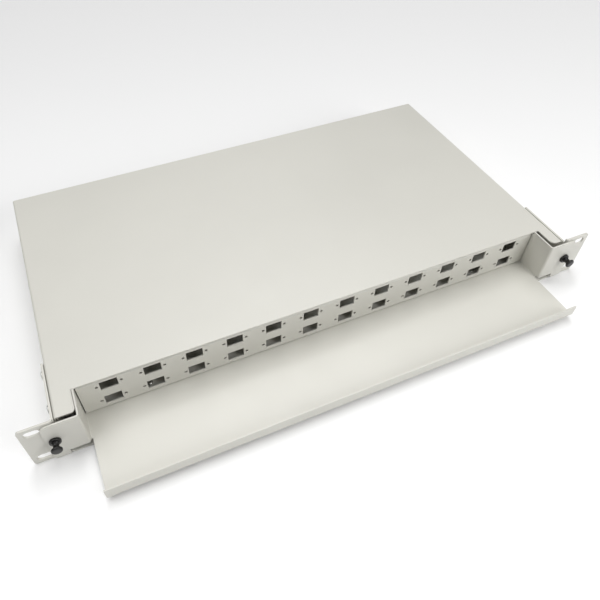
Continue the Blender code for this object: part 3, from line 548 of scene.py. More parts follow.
def make_base_pan():
    """Floor, sides and rear wall of the housing, open in front and on top."""
    (x0, y0, z0), (x1, y1, z1) = PAN_LOW, PAN_HIGH
    panels = [
        [(x0, y1, z0), (x1, y1, z0), (x1, y0, z0), (x0, y0, z0)],
        [(x0, y1, z0), (x0, y0, z0), (x0, y0, z1), (x0, y1, z1)],
        [(x1, y0, z0), (x1, y1, z0), (x1, y1, z1), (x1, y0, z1)],
        [(x1, y1, z0), (x0, y1, z0), (x0, y1, z1), (x1, y1, z1)],
    ]
    pan = fold_sheet("pan", panels, [(lambda a, b: max(a.z, b.z) < z0 + 1 * MM, BEND_OUT)])
    items = []
    for plug in range(1, 5):
        low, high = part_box("cable_entry_plug_%d" % plug)
        mid = (low + high) / 2
        items.append(((mid.x, y1 - 6 * MM, mid.z), (mid.x, y1 + 6 * MM, mid.z), PLUG_HOLE))
    low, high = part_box("earth_stud")
    stud_z = (low.z + high.z) / 2
    items.append(((0, y1 - 6 * MM, stud_z), (0, y1 + 6 * MM, stud_z), STUD_HOLE))
    combine(pan, rods("pan_round_holes", items, 48))
    combine(pan, side_holes("pan_side_holes", M3_HOLE))
    fronts = []
    for _, side in SIDES:
        xs = sorted((side * (x1 - 8 * MM), side * (x1 + 5 * MM)))
        fronts.append((rounded([(xs[0], y0 - 5 * MM), (xs[1], y0 - 5 * MM),
                                (xs[1], EAR_Y + PAN_FRONT), (xs[0], EAR_Y + PAN_FRONT)]),
                       BEND_OUT + 0.4 * MM, z1 + 5 * MM, "Z"))
    combine(pan, slabs("pan_fronts", fronts))
    return show(settle(pan, EDGE), "base_pan")


def make_ear(label, side):
    """Rack ear with a leg folded back along the side."""
    front, tip, outer, top = EAR_Y, EAR_HIGH.y, EAR_HIGH.x, EAR_HIGH.z
    plan = rounded([
        (outer, front), (outer, front + EAR_THICK), (LEG_OUT, front + EAR_THICK, 0.6 * MM),
        (LEG_OUT, tip), (LEG_IN, tip), (LEG_IN, front, 2.6 * MM)])
    ear = slabs("ear", [(mirrored(plan, side), 0.0, top, "Z")])
    view = rounded([
        (LEG_IN - 2 * MM, -1 * MM), (outer - 5 * MM, -1 * MM), (outer - 5 * MM, 0.0),
        (outer, 0.0, 2.5 * MM), (outer, top, 2.5 * MM), (outer - 5 * MM, top),
        (outer - 5 * MM, top + 1 * MM), (LEG_IN - 2 * MM, top + 1 * MM)], 10)
    shape = slabs("ear_view", [(mirrored(view, side), front - 5 * MM, tip + 5 * MM, "Y")])
    combine(ear, shape, "INTERSECT")
    cuts = []
    for height in (top / 2 + SLOT_RISE, top / 2 - SLOT_RISE):
        slot = arc(SLOT_X + SLOT_REACH, height, SLOT_RADIUS, -90, 90, 14)
        slot += arc(SLOT_X - SLOT_REACH, height, SLOT_RADIUS, 90, 270, 14)
        cuts.append((mirrored(slot, side), front - 5 * MM, front + 7 * MM, "Y"))
    combine(ear, slabs("ear_slots", cuts))
    xs = sorted((side * (LEG_IN - 1 * MM), side * (LEG_OUT + 1 * MM)))
    leg = rectangle(xs[0], front + LEG_STEP, xs[1], tip + 5 * MM, 0.2 * MM, 2)
    combine(ear, slabs("leg_step", [(leg, LEG_TOP, top + 3 * MM, "Z")]))
    items = side_rods(M4_HOLE, EAR_SPOTS, LEG_OUT + 5 * MM)
    x = side * LATCH_X
    items.append(((x, front - 2 * MM, LATCH_Z), (x, front + 12 * MM, LATCH_Z), LATCH_HOLE))
    combine(ear, rods("ear_holes", items))
    return show(settle(ear, 0.25 * MM, 3), "ear_bracket_" + label)


def make_rail(label, side):
    """Rolled channel with a closed front end."""
    low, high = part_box("guide_rail_" + label)
    back, face = (high.x, low.x) if side > 0 else (low.x, high.x)
    view = rectangle(low.y, low.z, high.y, high.z, 0.9 * MM)
    rail = slabs("rail", [(view, *sorted((face, back)), "X")])
    thick = 1.0 * MM
    hollow = rectangle(low.y + thick, low.z + thick, high.y + 9 * MM, high.z - thick, 0.4 * MM, 4)
    ends = sorted((face - side * 5 * MM, back - side * thick))
    combine(rail, slabs("hollow", [(hollow, *ends, "X")]))
    return show(settle(rail, 0.12 * MM), "guide_rail_" + label)


def make_glide_pad(label):
    """Oblong nylon pad with two shallow locating dimples."""
    low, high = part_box("glide_pad_" + label)
    pad = slabs("pad", [(rectangle(low.x, low.y, high.x, high.y, 4 * MM), low.z, high.z, "Z")])
    y = (low.y + high.y) / 2
    dimples = [((x, y, high.z - 0.4 * MM), (x, y, high.z + 2 * MM), 1.6 * MM)
               for x in (low.x + 8 * MM, high.x - 8 * MM)]
    combine(pad, rods("dimples", dimples))
    return show(settle(pad, 0.3 * MM, 3), "glide_pad_" + label)


def screw_mesh(head, height, shank, length, sunk):
    """Screw with a cross recess and a grooved shank, head on +Z.

    Pan head of the given height, or a flush one that goes sunk deep.
    """
    bm = bmesh.new()
    if sunk:
        profile = [(0, height), (head * 0.93, height), (head, height - 0.1 * MM),
                   (head, height - 0.3 * MM), (shank * 1.15, -sunk), (shank, -sunk)]
    else:
        dome = [(head * math.sin(math.radians(a)) ** 0.9,
                 height * (0.45 + 0.55 * math.cos(math.radians(a))))
                for a in (20, 40, 55, 68, 78, 86)]
        profile = [(0, height), *dome, (head, 0.40 * height), (head, 0.12 * height),
                   (head * 0.97, 0), (shank, 0)]
    profile.append((shank, -sunk - 0.4 * MM))
    pitch = 0.5 * MM
    turns = int((length - sunk - 1.2 * MM) / pitch)
    for k in range(turns):
        z = -sunk - 0.5 * MM - k * pitch
        profile += [(shank * 0.99, z), (shank * 0.84, z - 0.25 * MM)]
    profile += [(shank * 0.8, -length + 0.3 * MM), (shank * 0.55, -length), (0, -length)]
    add_turned(bm, profile, 40, Matrix.Identity(4))
    screw = new_object("screw", bm)
    arm, wide = head * 0.52, head * 0.13
    cross = bmesh.new()
    for turn in (0.0, 90.0):
        place = Matrix.Rotation(math.radians(turn), 4, "Z")
        made = bmesh.ops.create_cube(cross, size=2.0, matrix=Matrix.Translation((0, 0, height)))
        for vert in made["verts"]:
            high = vert.co.z > height
            vert.co.x = math.copysign(arm * (1.25 if high else 0.55), vert.co.x)
            vert.co.y = math.copysign(wide * (1.2 if high else 0.8), vert.co.y)
            vert.co.z = height + 0.4 * MM if high else height * 0.25 - sunk * 0.8
            vert.co = place @ vert.co
    combine(screw, new_object("cross", cross))
    screw.modifiers[-1].use_self = True
    settle(screw, 0.0, angle=38)
    return screw


def place_screws(kind, spots):
    """Copies of one screw: (node, place, direction, spin) each."""
    for node, place, direction, spin in spots:
        mesh = kind.data.copy()
        mesh.transform(aim(place, direction) @ Matrix.Rotation(math.radians(spin), 4, "Z"))
        obj = bpy.data.objects.new(node, mesh)
        bpy.context.scene.collection.objects.link(obj)
        show(obj, node)
    bpy.data.objects.remove(kind, do_unlink=True)


def make_screws():
    """All screws, each turned to a different angle."""
    ears, covers, panels, anchors = [], [], [], []
    spin = 17
    for label, side in SIDES:
        for depth, end in zip(EAR_SCREW_DEPTHS, ("front", "rear")):
            for height, level in zip(EAR_SCREW_HEIGHTS, ("upper", "lower")):
                spin += 37
                ears.append(("ear_screw_%s_%s_%s" % (label, end, level),
                             (side * (LEG_OUT + SEAT), EAR_Y + depth, height),
                             (side, 0, 0), spin))
        for depth, end in zip(COVER_SCREW_DEPTHS, ("front", "rear")):
            spin += 37
            covers.append(("cover_screw_%s_%s" % (label, end),
                           (side * (COVER_HIGH.x - SEAT), EAR_Y + depth, COVER_SCREW_Z),
                           (side, 0, 0), spin))
        low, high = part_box("anchor_plate_" + label)
        mid = (low + high) / 2
        spin += 37
        anchors.append(("anchor_screw_" + label, (mid.x, mid.y, high.z + SEAT),
                        (0, 0, 1), spin))
    for name, x in zip(("left", "middle", "right"), PANEL_SCREW_XS):
        low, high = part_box("panel_screw_" + name)
        spin += 37
        seat = PANEL_LOW.z + SHEET + SEAT
        panels.append(("panel_screw_" + name, (x, (low.y + high.y) / 2, seat), (0, 0, 1), spin))
    place_screws(screw_mesh(*EAR_SCREW), ears)
    place_screws(screw_mesh(*COVER_SCREW), covers)
    place_screws(screw_mesh(*PANEL_SCREW), panels)
    place_screws(screw_mesh(*ANCHOR_SCREW), anchors)


def thread(bm, radius, low, high, pitch, place, steps=24):
    """A rod with a helical thread between two heights."""
    rows = max(8, int((high - low) / pitch * 6))
    depth = pitch * 0.5
    rings = []
    for r in range(rows + 1):
        z = low + (high - low) * r / rows
        ring = []
        for k in range(steps):
            phase = (z / pitch - k / steps) % 1.0
            fade = min(1.0, (high - z) / pitch, (z - low) / pitch)
            size = radius - depth * (1 - abs(2 * phase - 1)) * max(0.0, fade)
            if r == rows:
                size = radius - depth
            turn = 2 * math.pi * k / steps
            spot = Vector((size * math.cos(turn), size * math.sin(turn), z))
            ring.append(bm.verts.new(place @ spot))
        rings.append(ring)
    faces = [bm.faces.new(rings[0]), bm.faces.new(rings[-1])]
    for a, b in zip(rings, rings[1:]):
        for k in range(steps):
            j = (k + 1) % steps
            faces.append(bm.faces.new((a[k], a[j], b[j], b[k])))
    bmesh.ops.recalc_face_normals(bm, faces=faces)


def make_plug(number):
    """Blind rubber grommet with stepped rings to cut for the cable."""
    low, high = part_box("cable_entry_plug_%d" % number)
    mid = (low + high) / 2
    wall = PAN_HIGH.y
    outer, neck = 13.0 * MM, 10.0 * MM
    profile = [(0, 3.2 * MM), (1.6 * MM, 3.2 * MM), (1.9 * MM, 3.0 * MM), (2.0 * MM, 2.4 * MM),
               (3.4 * MM, 2.4 * MM), (3.7 * MM, 2.2 * MM), (3.8 * MM, 1.7 * MM),
               (5.4 * MM, 1.7 * MM), (5.7 * MM, 1.5 * MM), (5.8 * MM, 1.0 * MM),
               (7.6 * MM, 1.0 * MM), (7.9 * MM, 1.3 * MM), (8.3 * MM, 2.0 * MM),
               (9.0 * MM, 2.35 * MM), (11.4 * MM, 2.2 * MM), (12.4 * MM, 1.8 * MM),
               (outer, 1.1 * MM), (outer, 0.2 * MM), (12.8 * MM, 0.05 * MM), (neck, 0.05 * MM),
               (neck, -SHEET - 0.05 * MM), (11.8 * MM, -SHEET - 0.05 * MM),
               (11.6 * MM, -SHEET - 0.8 * MM), (8.8 * MM, -SHEET - 2.6 * MM),
               (0, -SHEET - 2.6 * MM)]
    plug = turned("plug", profile, (mid.x, wall, mid.z), (0, 1, 0), 64)
    return show(settle(plug, 0.0, angle=50), "cable_entry_plug_%d" % number)


def make_earth_point():
    """Threaded earth stud with a toothed washer and a chamfered nut."""
    low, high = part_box("earth_stud")
    z, wall = (low.z + high.z) / 2, PAN_HIGH.y
    place = aim((0, wall, z), (0, 1, 0))
    bm = bmesh.new()
    thread(bm, 2.4 * MM, -SHEET - 0.2 * MM, high.y - wall, 0.8 * MM, place)
    add_turned(bm, [(0, -SHEET), (4.1 * MM, -SHEET), (4.5 * MM, -SHEET - 0.4 * MM),
                    (4.5 * MM, -SHEET - 1.9 * MM), (4.2 * MM, -SHEET - 2.3 * MM),
                    (0, -SHEET - 2.3 * MM)], 40, place)
    show(settle(new_object("stud", bm), 0.0, angle=50), "earth_stud")
    teeth = []
    for k in range(48):
        turn = math.radians(k * 7.5)
        radius = (5.5 if k % 4 < 2 else 4.7) * MM
        teeth.append((radius * math.cos(turn), z + radius * math.sin(turn)))
    washer = slabs("washer", [(teeth, wall + 0.1 * MM, wall + 1.1 * MM, "Y")])
    combine(washer, rods("bore", [((0, wall - 5 * MM, z), (0, wall + 9 * MM, z), 2.6 * MM)]))
    show(settle(washer, 0.08 * MM, 2), "earth_washer")
    start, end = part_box("earth_nut")[0].y - 0.2 * MM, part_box("earth_nut")[1].y
    nut = slabs("nut", [(circle(0, z, 4.62 * MM, 6), start, end, "Y")])
    height = end - start
    crown = [(0, height), (3.9 * MM, height), (4.75 * MM, height - 0.6 * MM),
             (4.75 * MM, 0.6 * MM), (3.9 * MM, 0), (0, 0)]
    combine(nut, turned("crown", crown, (0, start, z), (0, 1, 0)), "INTERSECT")
    combine(nut, rods("bore", [((0, wall - 5 * MM, z), (0, wall + 19 * MM, z), 2.45 * MM)]))
    show(settle(nut, 0.12 * MM, 2), "earth_nut")


# ----------------------------------------------------------------- drawer

def make_tray():
    """Floor with cable shelf and lip, side walls and front flanges."""
    lip, back = TRAY_LOW.y, TRAY_HIGH.y
    front, flange = EAR_Y + 1.6 * MM, EAR_Y - GAP
    high_end, rear = EAR_Y + 21.9 * MM, back - 2 * MM
    floor, top = TRAY_FLOOR, TRAY_HIGH.z
    outer, low = TRAY_HIGH.x, TRAY_LOW.z
    plan = [(0, lip), (SHELF_HALF, lip), (SHELF_HALF, front), (WALL_OUT, front),
            (WALL_OUT, rear), (SHELF_HALF, rear), (SHELF_HALF, back), (0, back)]
    wall = [(front, floor), (rear, floor), (rear, WALL_TOP), (high_end, WALL_TOP),
            (high_end - 0.8 * MM, top), (flange, top), (flange, RELIEF_TOP),
            (front, floor + 2.4 * MM)]
    face = rounded([
        (WALL_OUT, RELIEF_TOP), (RELIEF_OUT, RELIEF_TOP), (RELIEF_OUT, low),
        (outer, low, 3.0 * MM), (outer, top, 4.5 * MM), (WALL_OUT, top)], 10)
    panels = [
        [(x, y, floor) for x, y in reversed(plan)],
        [(WALL_OUT, y, z) for y, z in wall],
        [(x, flange, z) for x, z in reversed(face)],
        [(0, lip, floor), (SHELF_HALF, lip, floor), (SHELF_HALF, lip, LIP_TOP), (0, lip, LIP_TOP)],
        [(0, back, STOP_TOP), (SHELF_HALF, back, STOP_TOP), (SHELF_HALF, back, floor),
         (0, back, floor)],
    ]
    tray = fold_sheet("tray", panels, [
        (lambda a, b: abs(a.z - b.z) > 10 * MM, BEND_IN),
        (lambda a, b: abs(a.z - b.z) < 1 * MM, BEND_OUT)], mirror=True)
    items = []
    for label, _ in SIDES:
        low_corner, high_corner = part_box("runner_" + label)
        for y in (low_corner.y + 8 * MM, high_corner.y - 8 * MM):
            items.append(((low_corner.x - 9 * MM, y, PEG_Z),
                          (high_corner.x + 9 * MM, y, PEG_Z), M4_HOLE))
    spots = [(x, EAR_Y + PANEL_SCREW_DEPTH) for x in PANEL_SCREW_XS]
    spots += [(side * ANCHOR_X, EAR_Y + ANCHOR_DEPTH) for _, side in SIDES]
    items += [((x, y, 0.0), (x, y, 8 * MM), M3_HOLE) for x, y in spots]
    for _, side in SIDES:
        x = side * LATCH_X
        items.append(((x, flange - 6 * MM, LATCH_Z), (x, flange + 6 * MM, LATCH_Z),
                      GROMMET_HOLE))
    combine(tray, rods("tray_holes", items))
    return show(settle(tray, EDGE), "drawer_tray")


def make_adapter_panel():
    """Channel-shaped plate with two rows of adapter cut-outs."""
    face, low, top = PANEL_LOW.y, PANEL_LOW.z, PANEL_HIGH.z
    section = rounded([
        (PANEL_HIGH.y, low), (PANEL_HIGH.y, low + SHEET), (face + SHEET, low + SHEET, 0.6 * MM),
        (face + SHEET, top - SHEET, 0.6 * MM), (face + 9.5 * MM, top - SHEET),
        (face + 9.5 * MM, top), (face, top, 1.8 * MM), (face, low, 1.8 * MM)])
    panel = slabs("panel", [(section, PANEL_LOW.x, PANEL_HIGH.x, "X")])
    windows, items = [], []
    ahead, behind = face - 3 * MM, face + 3 * MM
    half_x, half_z = WINDOW_HALF
    for column in range(WINDOW_COLUMNS):
        x = (column - (WINDOW_COLUMNS - 1) / 2) * WINDOW_PITCH
        for z in WINDOW_ROWS:
            shape = rectangle(x - half_x, z - half_z, x + half_x, z + half_z, 0.35 * MM, 3)
            windows.append((shape, ahead, behind, "Y"))
            for offset in WINDOW_FIXINGS:
                items.append(((x + offset, ahead, z), (x + offset, behind, z), FIXING_HOLE))
    combine(panel, slabs("windows", windows))
    combine(panel, rods("fixings", items, 20))
    foot = face + 7.5 * MM
    feet = [((x, foot, 0), (x, foot, 12 * MM), M3_HOLE) for x in PANEL_SCREW_XS]
    combine(panel, rods("feet", feet))
    return show(settle(panel, 0.15 * MM), "adapter_panel")


def make_runner(label, side):
    """Nylon slider with rounded ends, a relief groove and two pegs."""
    low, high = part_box("runner_" + label)
    outer = high.x if side > 0 else low.x
    inner = side * (WALL_OUT + GAP)
    view = rectangle(low.y, low.z, high.y, high.z, 3 * MM)
    block = slabs("runner", [(view, *sorted((inner, outer)), "X")])
    groove = rectangle(low.y + 5 * MM, PEG_Z - 2 * MM, high.y - 5 * MM, PEG_Z + 2 * MM, 1.9 * MM)
    ends = sorted((outer - side * 1 * MM, outer + side * 3 * MM))
    combine(block, slabs("groove", [(groove, *ends, "X")]))
    pegs = [((side * (WALL_IN - 1 * MM), y, PEG_Z), (side * (WALL_OUT + 3 * MM), y, PEG_Z), 2 * MM)
            for y in (low.y + 8 * MM, high.y - 8 * MM)]
    combine(block, rods("pegs", pegs), "UNION")
    return show(settle(block, 0.4 * MM, 3), "runner_" + label)


def make_latch(label, side):
    """Split grommet and the spool-shaped plunger in it."""
    x, face = side * LATCH_X, EAR_Y - GAP - SHEET
    place, out = (x, face, LATCH_Z), (0, -1, 0)
    low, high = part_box("latch_grommet_" + label)
    head, tip = face - low.y, face - high.y
    bore, sleeve = 1.2 * MM, 1.95 * MM
    profile = [(bore, head), (3.3 * MM, head), (3.7 * MM, head - 0.08 * MM),
               (4.02 * MM, head - 0.35 * MM), (4.18 * MM, head - 0.75 * MM),
               (4.2 * MM, 0.25 * MM), (4.1 * MM, 0.05 * MM),
               (sleeve, 0.05 * MM), (sleeve, tip + 1.6 * MM), (sleeve - 0.15 * MM, tip + 0.8 * MM),
               (sleeve - 0.45 * MM, tip), (bore, tip)]
    grommet = turned("grommet", profile, place, out)
    slit = [(x - 3 * MM, LATCH_Z - 0.3 * MM), (x + 3 * MM, LATCH_Z - 0.3 * MM),
            (x + 3 * MM, LATCH_Z + 0.3 * MM), (x - 3 * MM, LATCH_Z + 0.3 * MM)]
    combine(grommet, slabs("slit", [(slit, face + 2.6 * MM, high.y + 1 * MM, "Y")]))
    show(settle(grommet, 0.0, angle=50), "latch_grommet_" + label)
    low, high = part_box("latch_plunger_" + label)
    cap, start = face - low.y, face - low.y - 6.4 * MM
    tip = face - high.y
    shape = [(0, 0.0), (1.8, 0.0), (2.8, -0.04), (3.35, -0.16), (3.72, -0.42), (3.92, -0.8),
             (3.95, -1.2), (3.92, -1.65), (3.7, -2.0), (3.3, -2.32), (2.85, -2.6), (2.5, -2.95),
             (2.25, -3.45), (2.12, -4.05), (2.12, -4.6), (2.25, -5.15), (2.55, -5.7),
             (2.85, -6.08), (2.95, -6.3), (2.8, -6.4)]
    profile = [(r * MM, cap + h * MM) for r, h in shape]
    profile += [(1.0 * MM, start), (1.0 * MM, tip + 0.6 * MM), (0.7 * MM, tip), (0, tip)]
    plunger = turned("plunger", profile, place, out)
    show(settle(plunger, 0.0, angle=60), "latch_plunger_" + label)


# -------------------------------------------------------- splice cassettes

def make_cassette(level):
    """Shallow splice tray with spools, tabs and fibre entries."""
    low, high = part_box("splice_cassette_" + level)
    wall, corner = 1.5 * MM, 12.0 * MM
    mid = (low + high) / 2
    top = high.z
    plan = rectangle(low.x, low.y, high.x, high.y, corner, 16)
    tray = slabs("cassette", [(plan, low.z, top, "Z")])
    inner = rectangle(low.x + wall, low.y + wall, high.x - wall, high.y - wall, corner - wall, 16)
    combine(tray, slabs("hollow", [(inner, low.z + wall, top + 3 * MM, "Z")]))
    bm = bmesh.new()
    post = [(0, top - 0.3 * MM), (5 * MM, top - 0.3 * MM),
            (5 * MM, low.z + 0.7 * MM), (0, low.z + 0.7 * MM)]
    add_turned(bm, post, 40, Matrix.Translation((mid.x, mid.y, 0)))
    for _, side in SIDES:
        centre = (mid.x + side * 49 * MM, mid.y + 2 * MM)
        for start in (-150.0, 30.0):
            curve = arc(*centre, 22 * MM, start, start + 120, 24)
            curve += arc(*centre, 20.6 * MM, start + 120, start, 24)
            add_slab(bm, curve, low.z + 0.7 * MM, top - 1.2 * MM, "Z")
        for start in (-120.0, -60.0, 60.0, 120.0):
            turn = math.radians(start)
            x = centre[0] + 23.5 * MM * math.cos(turn)
            y = centre[1] + 23.5 * MM * math.sin(turn)
            tab = rectangle(x - 3 * MM, y - 3 * MM, x + 3 * MM, y + 3 * MM, 1.2 * MM, 4)
            add_slab(bm, tab, top - 2.2 * MM, top - 1.1 * MM, "Z")
    combine(tray, new_object("inside", bm), "UNION")
    tray.modifiers[-1].use_self = True
    cuts = []
    for _, side in SIDES:
        ends = sorted((side * (high.x - 4 * MM), side * (high.x + 4 * MM)))
        for y in (mid.y - 30 * MM, mid.y + 30 * MM):
            shape = rectangle(y - 6 * MM, low.z + 3 * MM, y + 6 * MM, top + 8 * MM, 2 * MM)
            cuts.append((shape, *ends, "X"))
    combine(tray, slabs("entries", cuts))
    bolt = ((mid.x, mid.y, low.z - 5 * MM), (mid.x, mid.y, top + 5 * MM), 3 * MM)
    combine(tray, rods("bolt", [bolt]))
    return show(settle(tray, 0.2 * MM, 2), "splice_cassette_" + level)


def make_holder(level):
    """Comb with a rounded groove for each splice and a snap rib."""
    low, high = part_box("splice_holder_" + level)
    pitch, count = 2.6 * MM, 12
    comb = [(low.y, low.z), (high.y, low.z), (high.y, high.z)]
    for splice in reversed(range(count)):
        mid = low.y + 2.2 * MM + splice * pitch
        comb += [(mid + 0.95 * MM, high.z), (mid + 0.65 * MM, high.z - 0.7 * MM),
                 (mid + 0.85 * MM, high.z - 1.3 * MM)]
        comb += arc(mid, low.z + 2.4 * MM, 0.85 * MM, 0, -180, 8)
        comb += [(mid - 0.85 * MM, high.z - 1.3 * MM), (mid - 0.65 * MM, high.z - 0.7 * MM),
                 (mid - 0.95 * MM, high.z)]
    comb.append((low.y, high.z))
    holder = slabs("holder", [(comb, low.x, high.x, "X")])
    gaps = []
    for x in (-8 * MM, 8 * MM):
        gap = rectangle(x - 1.5 * MM, low.y - 3 * MM, x + 1.5 * MM, high.y + 3 * MM, 0.4 * MM, 2)
        gaps.append((gap, low.z + 1.5 * MM, high.z + 3 * MM, "Z"))
    combine(holder, slabs("gaps", gaps))
    return show(settle(holder, 0.1 * MM, 1), "splice_holder_" + level)


def make_cassette_fixing():
    """Clear cover, threaded stud and wing nut."""
    low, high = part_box("cassette_cover")
    mid = (low + high) / 2
    plan = rectangle(low.x, low.y, high.x, high.y, 12 * MM, 16)
    cover = slabs("cover_sheet", [(plan, low.z, high.z, "Z")])
    hole = ((mid.x, mid.y, low.z - 5 * MM), (mid.x, mid.y, high.z + 5 * MM), 3 * MM)
    combine(cover, rods("hole", [hole]))
    notches = []
    for _, side in SIDES:
        edge = side * high.x
        shape = rectangle(edge - 3 * MM, mid.y - 9 * MM, edge + 3 * MM, mid.y + 9 * MM, 2.5 * MM)
        notches.append((shape, low.z - 3 * MM, high.z + 3 * MM, "Z"))
    combine(cover, slabs("finger_notches", notches))
    show(settle(cover, 0.25 * MM, 3), "cassette_cover")
    low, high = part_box("cassette_stud")
    bm = bmesh.new()
    thread(bm, 2.4 * MM, low.z, high.z, 0.8 * MM, Matrix.Translation((mid.x, mid.y, 0)))
    show(settle(new_object("stud", bm), 0.0, angle=50), "cassette_stud")
    low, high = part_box("cassette_wing_nut")
    seat = low.z - 0.1 * MM
    profile = [(2.45, 7), (3.5, 7), (3.9, 6.8), (4.1, 6.3), (5.3, 2.2), (5.9, 1.2), (6, 0.6),
               (5.8, 0.1), (5.6, 0), (2.45, 0)]
    profile = [(r * MM, seat + h * MM) for r, h in profile]
    nut = turned("nut", profile, (mid.x, mid.y, 0), (0, 0, 1))
    wings = []
    for _, side in SIDES:
        wing = rounded([
            (3.4 * MM, seat + 1 * MM), (5.4 * MM, seat + 1 * MM),
            (12.9 * MM, seat + 4 * MM, 2 * MM), (12.9 * MM, high.z, 2.5 * MM),
            (8.5 * MM, high.z, 2 * MM), (3.2 * MM, seat + 5 * MM)])
        wings.append((mirrored(wing, side), mid.y - 1 * MM, mid.y + 1 * MM, "Y"))
    combine(nut, slabs("wings", wings), "UNION")
    show(settle(nut, 0.4 * MM, 3, 40), "cassette_wing_nut")


def make_tie_mount(label, spot):
    """Tie saddle: square foot with a raised bridge and a tunnel under it."""
    node = "tie_mount_%s_%s" % (label, spot)
    low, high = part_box(node)
    mid = (low + high) / 2
    plan = rectangle(low.x, low.y, high.x, high.y, 2 * MM)
    foot = slabs("foot", [(plan, low.z, low.z + 1.4 * MM, "Z")])
    bridge = rounded([(low.x + 2.5 * MM, low.z + 1 * MM), (high.x - 2.5 * MM, low.z + 1 * MM),
                      (high.x - 4.5 * MM, high.z, 1.4 * MM), (low.x + 4.5 * MM, high.z, 1.4 * MM)])
    combine(foot, slabs("bridge", [(bridge, mid.y - 6 * MM, mid.y + 6 * MM, "Y")]), "UNION")
    tunnel = rectangle(mid.y - 2.7 * MM, low.z + 1.4 * MM,
                       mid.y + 2.7 * MM, low.z + 3.1 * MM, 0.5 * MM, 4)
    combine(foot, slabs("tunnel", [(tunnel, low.x - 2 * MM, high.x + 2 * MM, "X")]))
    return show(settle(foot, 0.25 * MM, 2), node)


def make_anchor_plate(label):
    """Clamp plate with grooves across it that grip the strength member."""
    low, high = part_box("anchor_plate_" + label)
    mid = (low + high) / 2
    plan = rectangle(low.x, low.y, high.x, high.y, 1.5 * MM)
    plate = slabs("plate", [(plan, low.z, high.z, "Z")])
    combine(plate, rods("hole", [((mid.x, mid.y, 0), (mid.x, mid.y, high.z + 5 * MM), M3_HOLE)]))
    grooves = []
    for offset in (-7.2, -5.7, 5.7, 7.2):
        x = mid.x + offset * MM
        groove = [(x - 0.4 * MM, high.z + 0.1 * MM), (x, high.z - 0.5 * MM),
                  (x + 0.4 * MM, high.z + 0.1 * MM)]
        grooves.append((groove, low.y - 3 * MM, high.y + 3 * MM, "Y"))
    combine(plate, slabs("grooves", grooves))
    return show(settle(plate, 0.12 * MM, 2), "anchor_plate_" + label)


def build():
    """Every piece of the object."""
    make_top_cover()
    make_base_pan()
    make_tray()
    make_adapter_panel()
    for label, side in SIDES:
        make_ear(label, side)
        make_rail(label, side)
        make_glide_pad(label)
        make_runner(label, side)
        make_latch(label, side)
        make_anchor_plate(label)
        for spot in ("front", "rear"):
            make_tie_mount(label, spot)
    for number in range(1, 5):
        make_plug(number)
    make_earth_point()
    make_screws()
    for level in ("lower", "upper"):
        make_cassette(level)
        make_holder(level)
    make_cassette_fixing()


# ------------------------------------------------------------------ stage

def make_floor():
    """Plain pale floor under the object."""
    bm = bmesh.new()
    bmesh.ops.create_grid(bm, x_segments=1, y_segments=1, size=FLOOR_HALF)
    floor = new_object("floor", bm)
    floor.location.z = FLOOR_Z
    g = Graph("floor_white")
    tint = g.mix(g.noise(3.0), (0.965, 0.965, 0.965, 1.0), (0.975, 0.975, 0.975, 1.0))
    floor.data.materials.append(g.finish(tint, 0.9, g.bump(g.noise(40.0), 0.01 * MM)))


def add_area(name, place, target, size, power):
    """A square soft light."""
    light = bpy.data.lights.new(name, "AREA")
    light.shape = "SQUARE"
    light.size = size
    light.energy = power
    lamp = bpy.data.objects.new(name, light)
    lamp.location = place
    lamp.rotation_euler = (Vector(place) - Vector(target)).to_track_quat("Z", "Y").to_euler()
    bpy.context.scene.collection.objects.link(lamp)


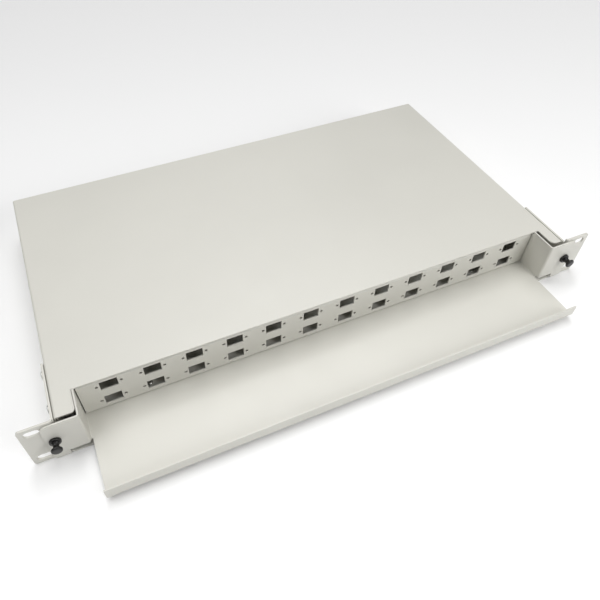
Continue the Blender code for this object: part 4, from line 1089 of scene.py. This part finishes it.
def add_sun(name, place, angle, strength):
    """A wide, soft sun that lights the floor evenly out to the horizon."""
    light = bpy.data.lights.new(name, "SUN")
    light.angle = math.radians(angle)
    light.energy = strength
    lamp = bpy.data.objects.new(name, light)
    lamp.location = place
    lamp.rotation_euler = Vector(place).to_track_quat("Z", "Y").to_euler()
    bpy.context.scene.collection.objects.link(lamp)


def make_lights():
    """Studio light: soft boxes in front, wide suns behind above, weak fill, white surround."""
    world = bpy.data.worlds.new("studio")
    world.use_nodes = True
    nodes, links = world.node_tree.nodes, world.node_tree.links
    fill = nodes["Background"]
    fill.inputs["Color"].default_value = (1.0, 1.0, 1.0, 1.0)
    fill.inputs["Strength"].default_value = FILL_LIGHT
    seen = nodes.new("ShaderNodeBackground")
    seen.inputs["Color"].default_value = (1.0, 1.0, 1.0, 1.0)
    seen.inputs["Strength"].default_value = SURROUND
    path, pick = nodes.new("ShaderNodeLightPath"), nodes.new("ShaderNodeMixShader")
    links.new(path.outputs["Is Camera Ray"], pick.inputs[0])
    links.new(fill.outputs[0], pick.inputs[1])
    links.new(seen.outputs[0], pick.inputs[2])
    links.new(pick.outputs[0], nodes["World Output"].inputs["Surface"])
    bpy.context.scene.world = world
    for row in SOFT_BOXES:
        add_area(*row)
    for row in SUNS:
        add_sun(*row)


def make_camera():
    """Camera on the left in front, looking down at the box."""
    azimuth, elevation, roll = (math.radians(a) for a in CAMERA_TURN)
    back = Vector((math.sin(azimuth) * math.cos(elevation),
                   -math.cos(azimuth) * math.cos(elevation), math.sin(elevation)))
    right = Vector((0, 0, 1)).cross(back).normalized()
    up = back.cross(right)
    tilted = right * math.cos(roll) + up * math.sin(roll)
    up = up * math.cos(roll) - right * math.sin(roll)
    data = bpy.data.cameras.new("camera")
    data.lens = CAMERA_LENS
    data.sensor_width = 36.0
    data.shift_x, data.shift_y = CAMERA_SHIFT
    data.clip_start = 0.01
    data.clip_end = 50.0
    camera = bpy.data.objects.new("camera", data)
    axes = Matrix((tilted, up, back)).transposed().to_4x4()
    camera.matrix_world = Matrix.Translation(CAMERA_PLACE) @ axes
    bpy.context.scene.collection.objects.link(camera)
    bpy.context.scene.camera = camera


build()
make_floor()
make_lights()
make_camera()
bpy.context.scene.view_settings.view_transform = "Standard"
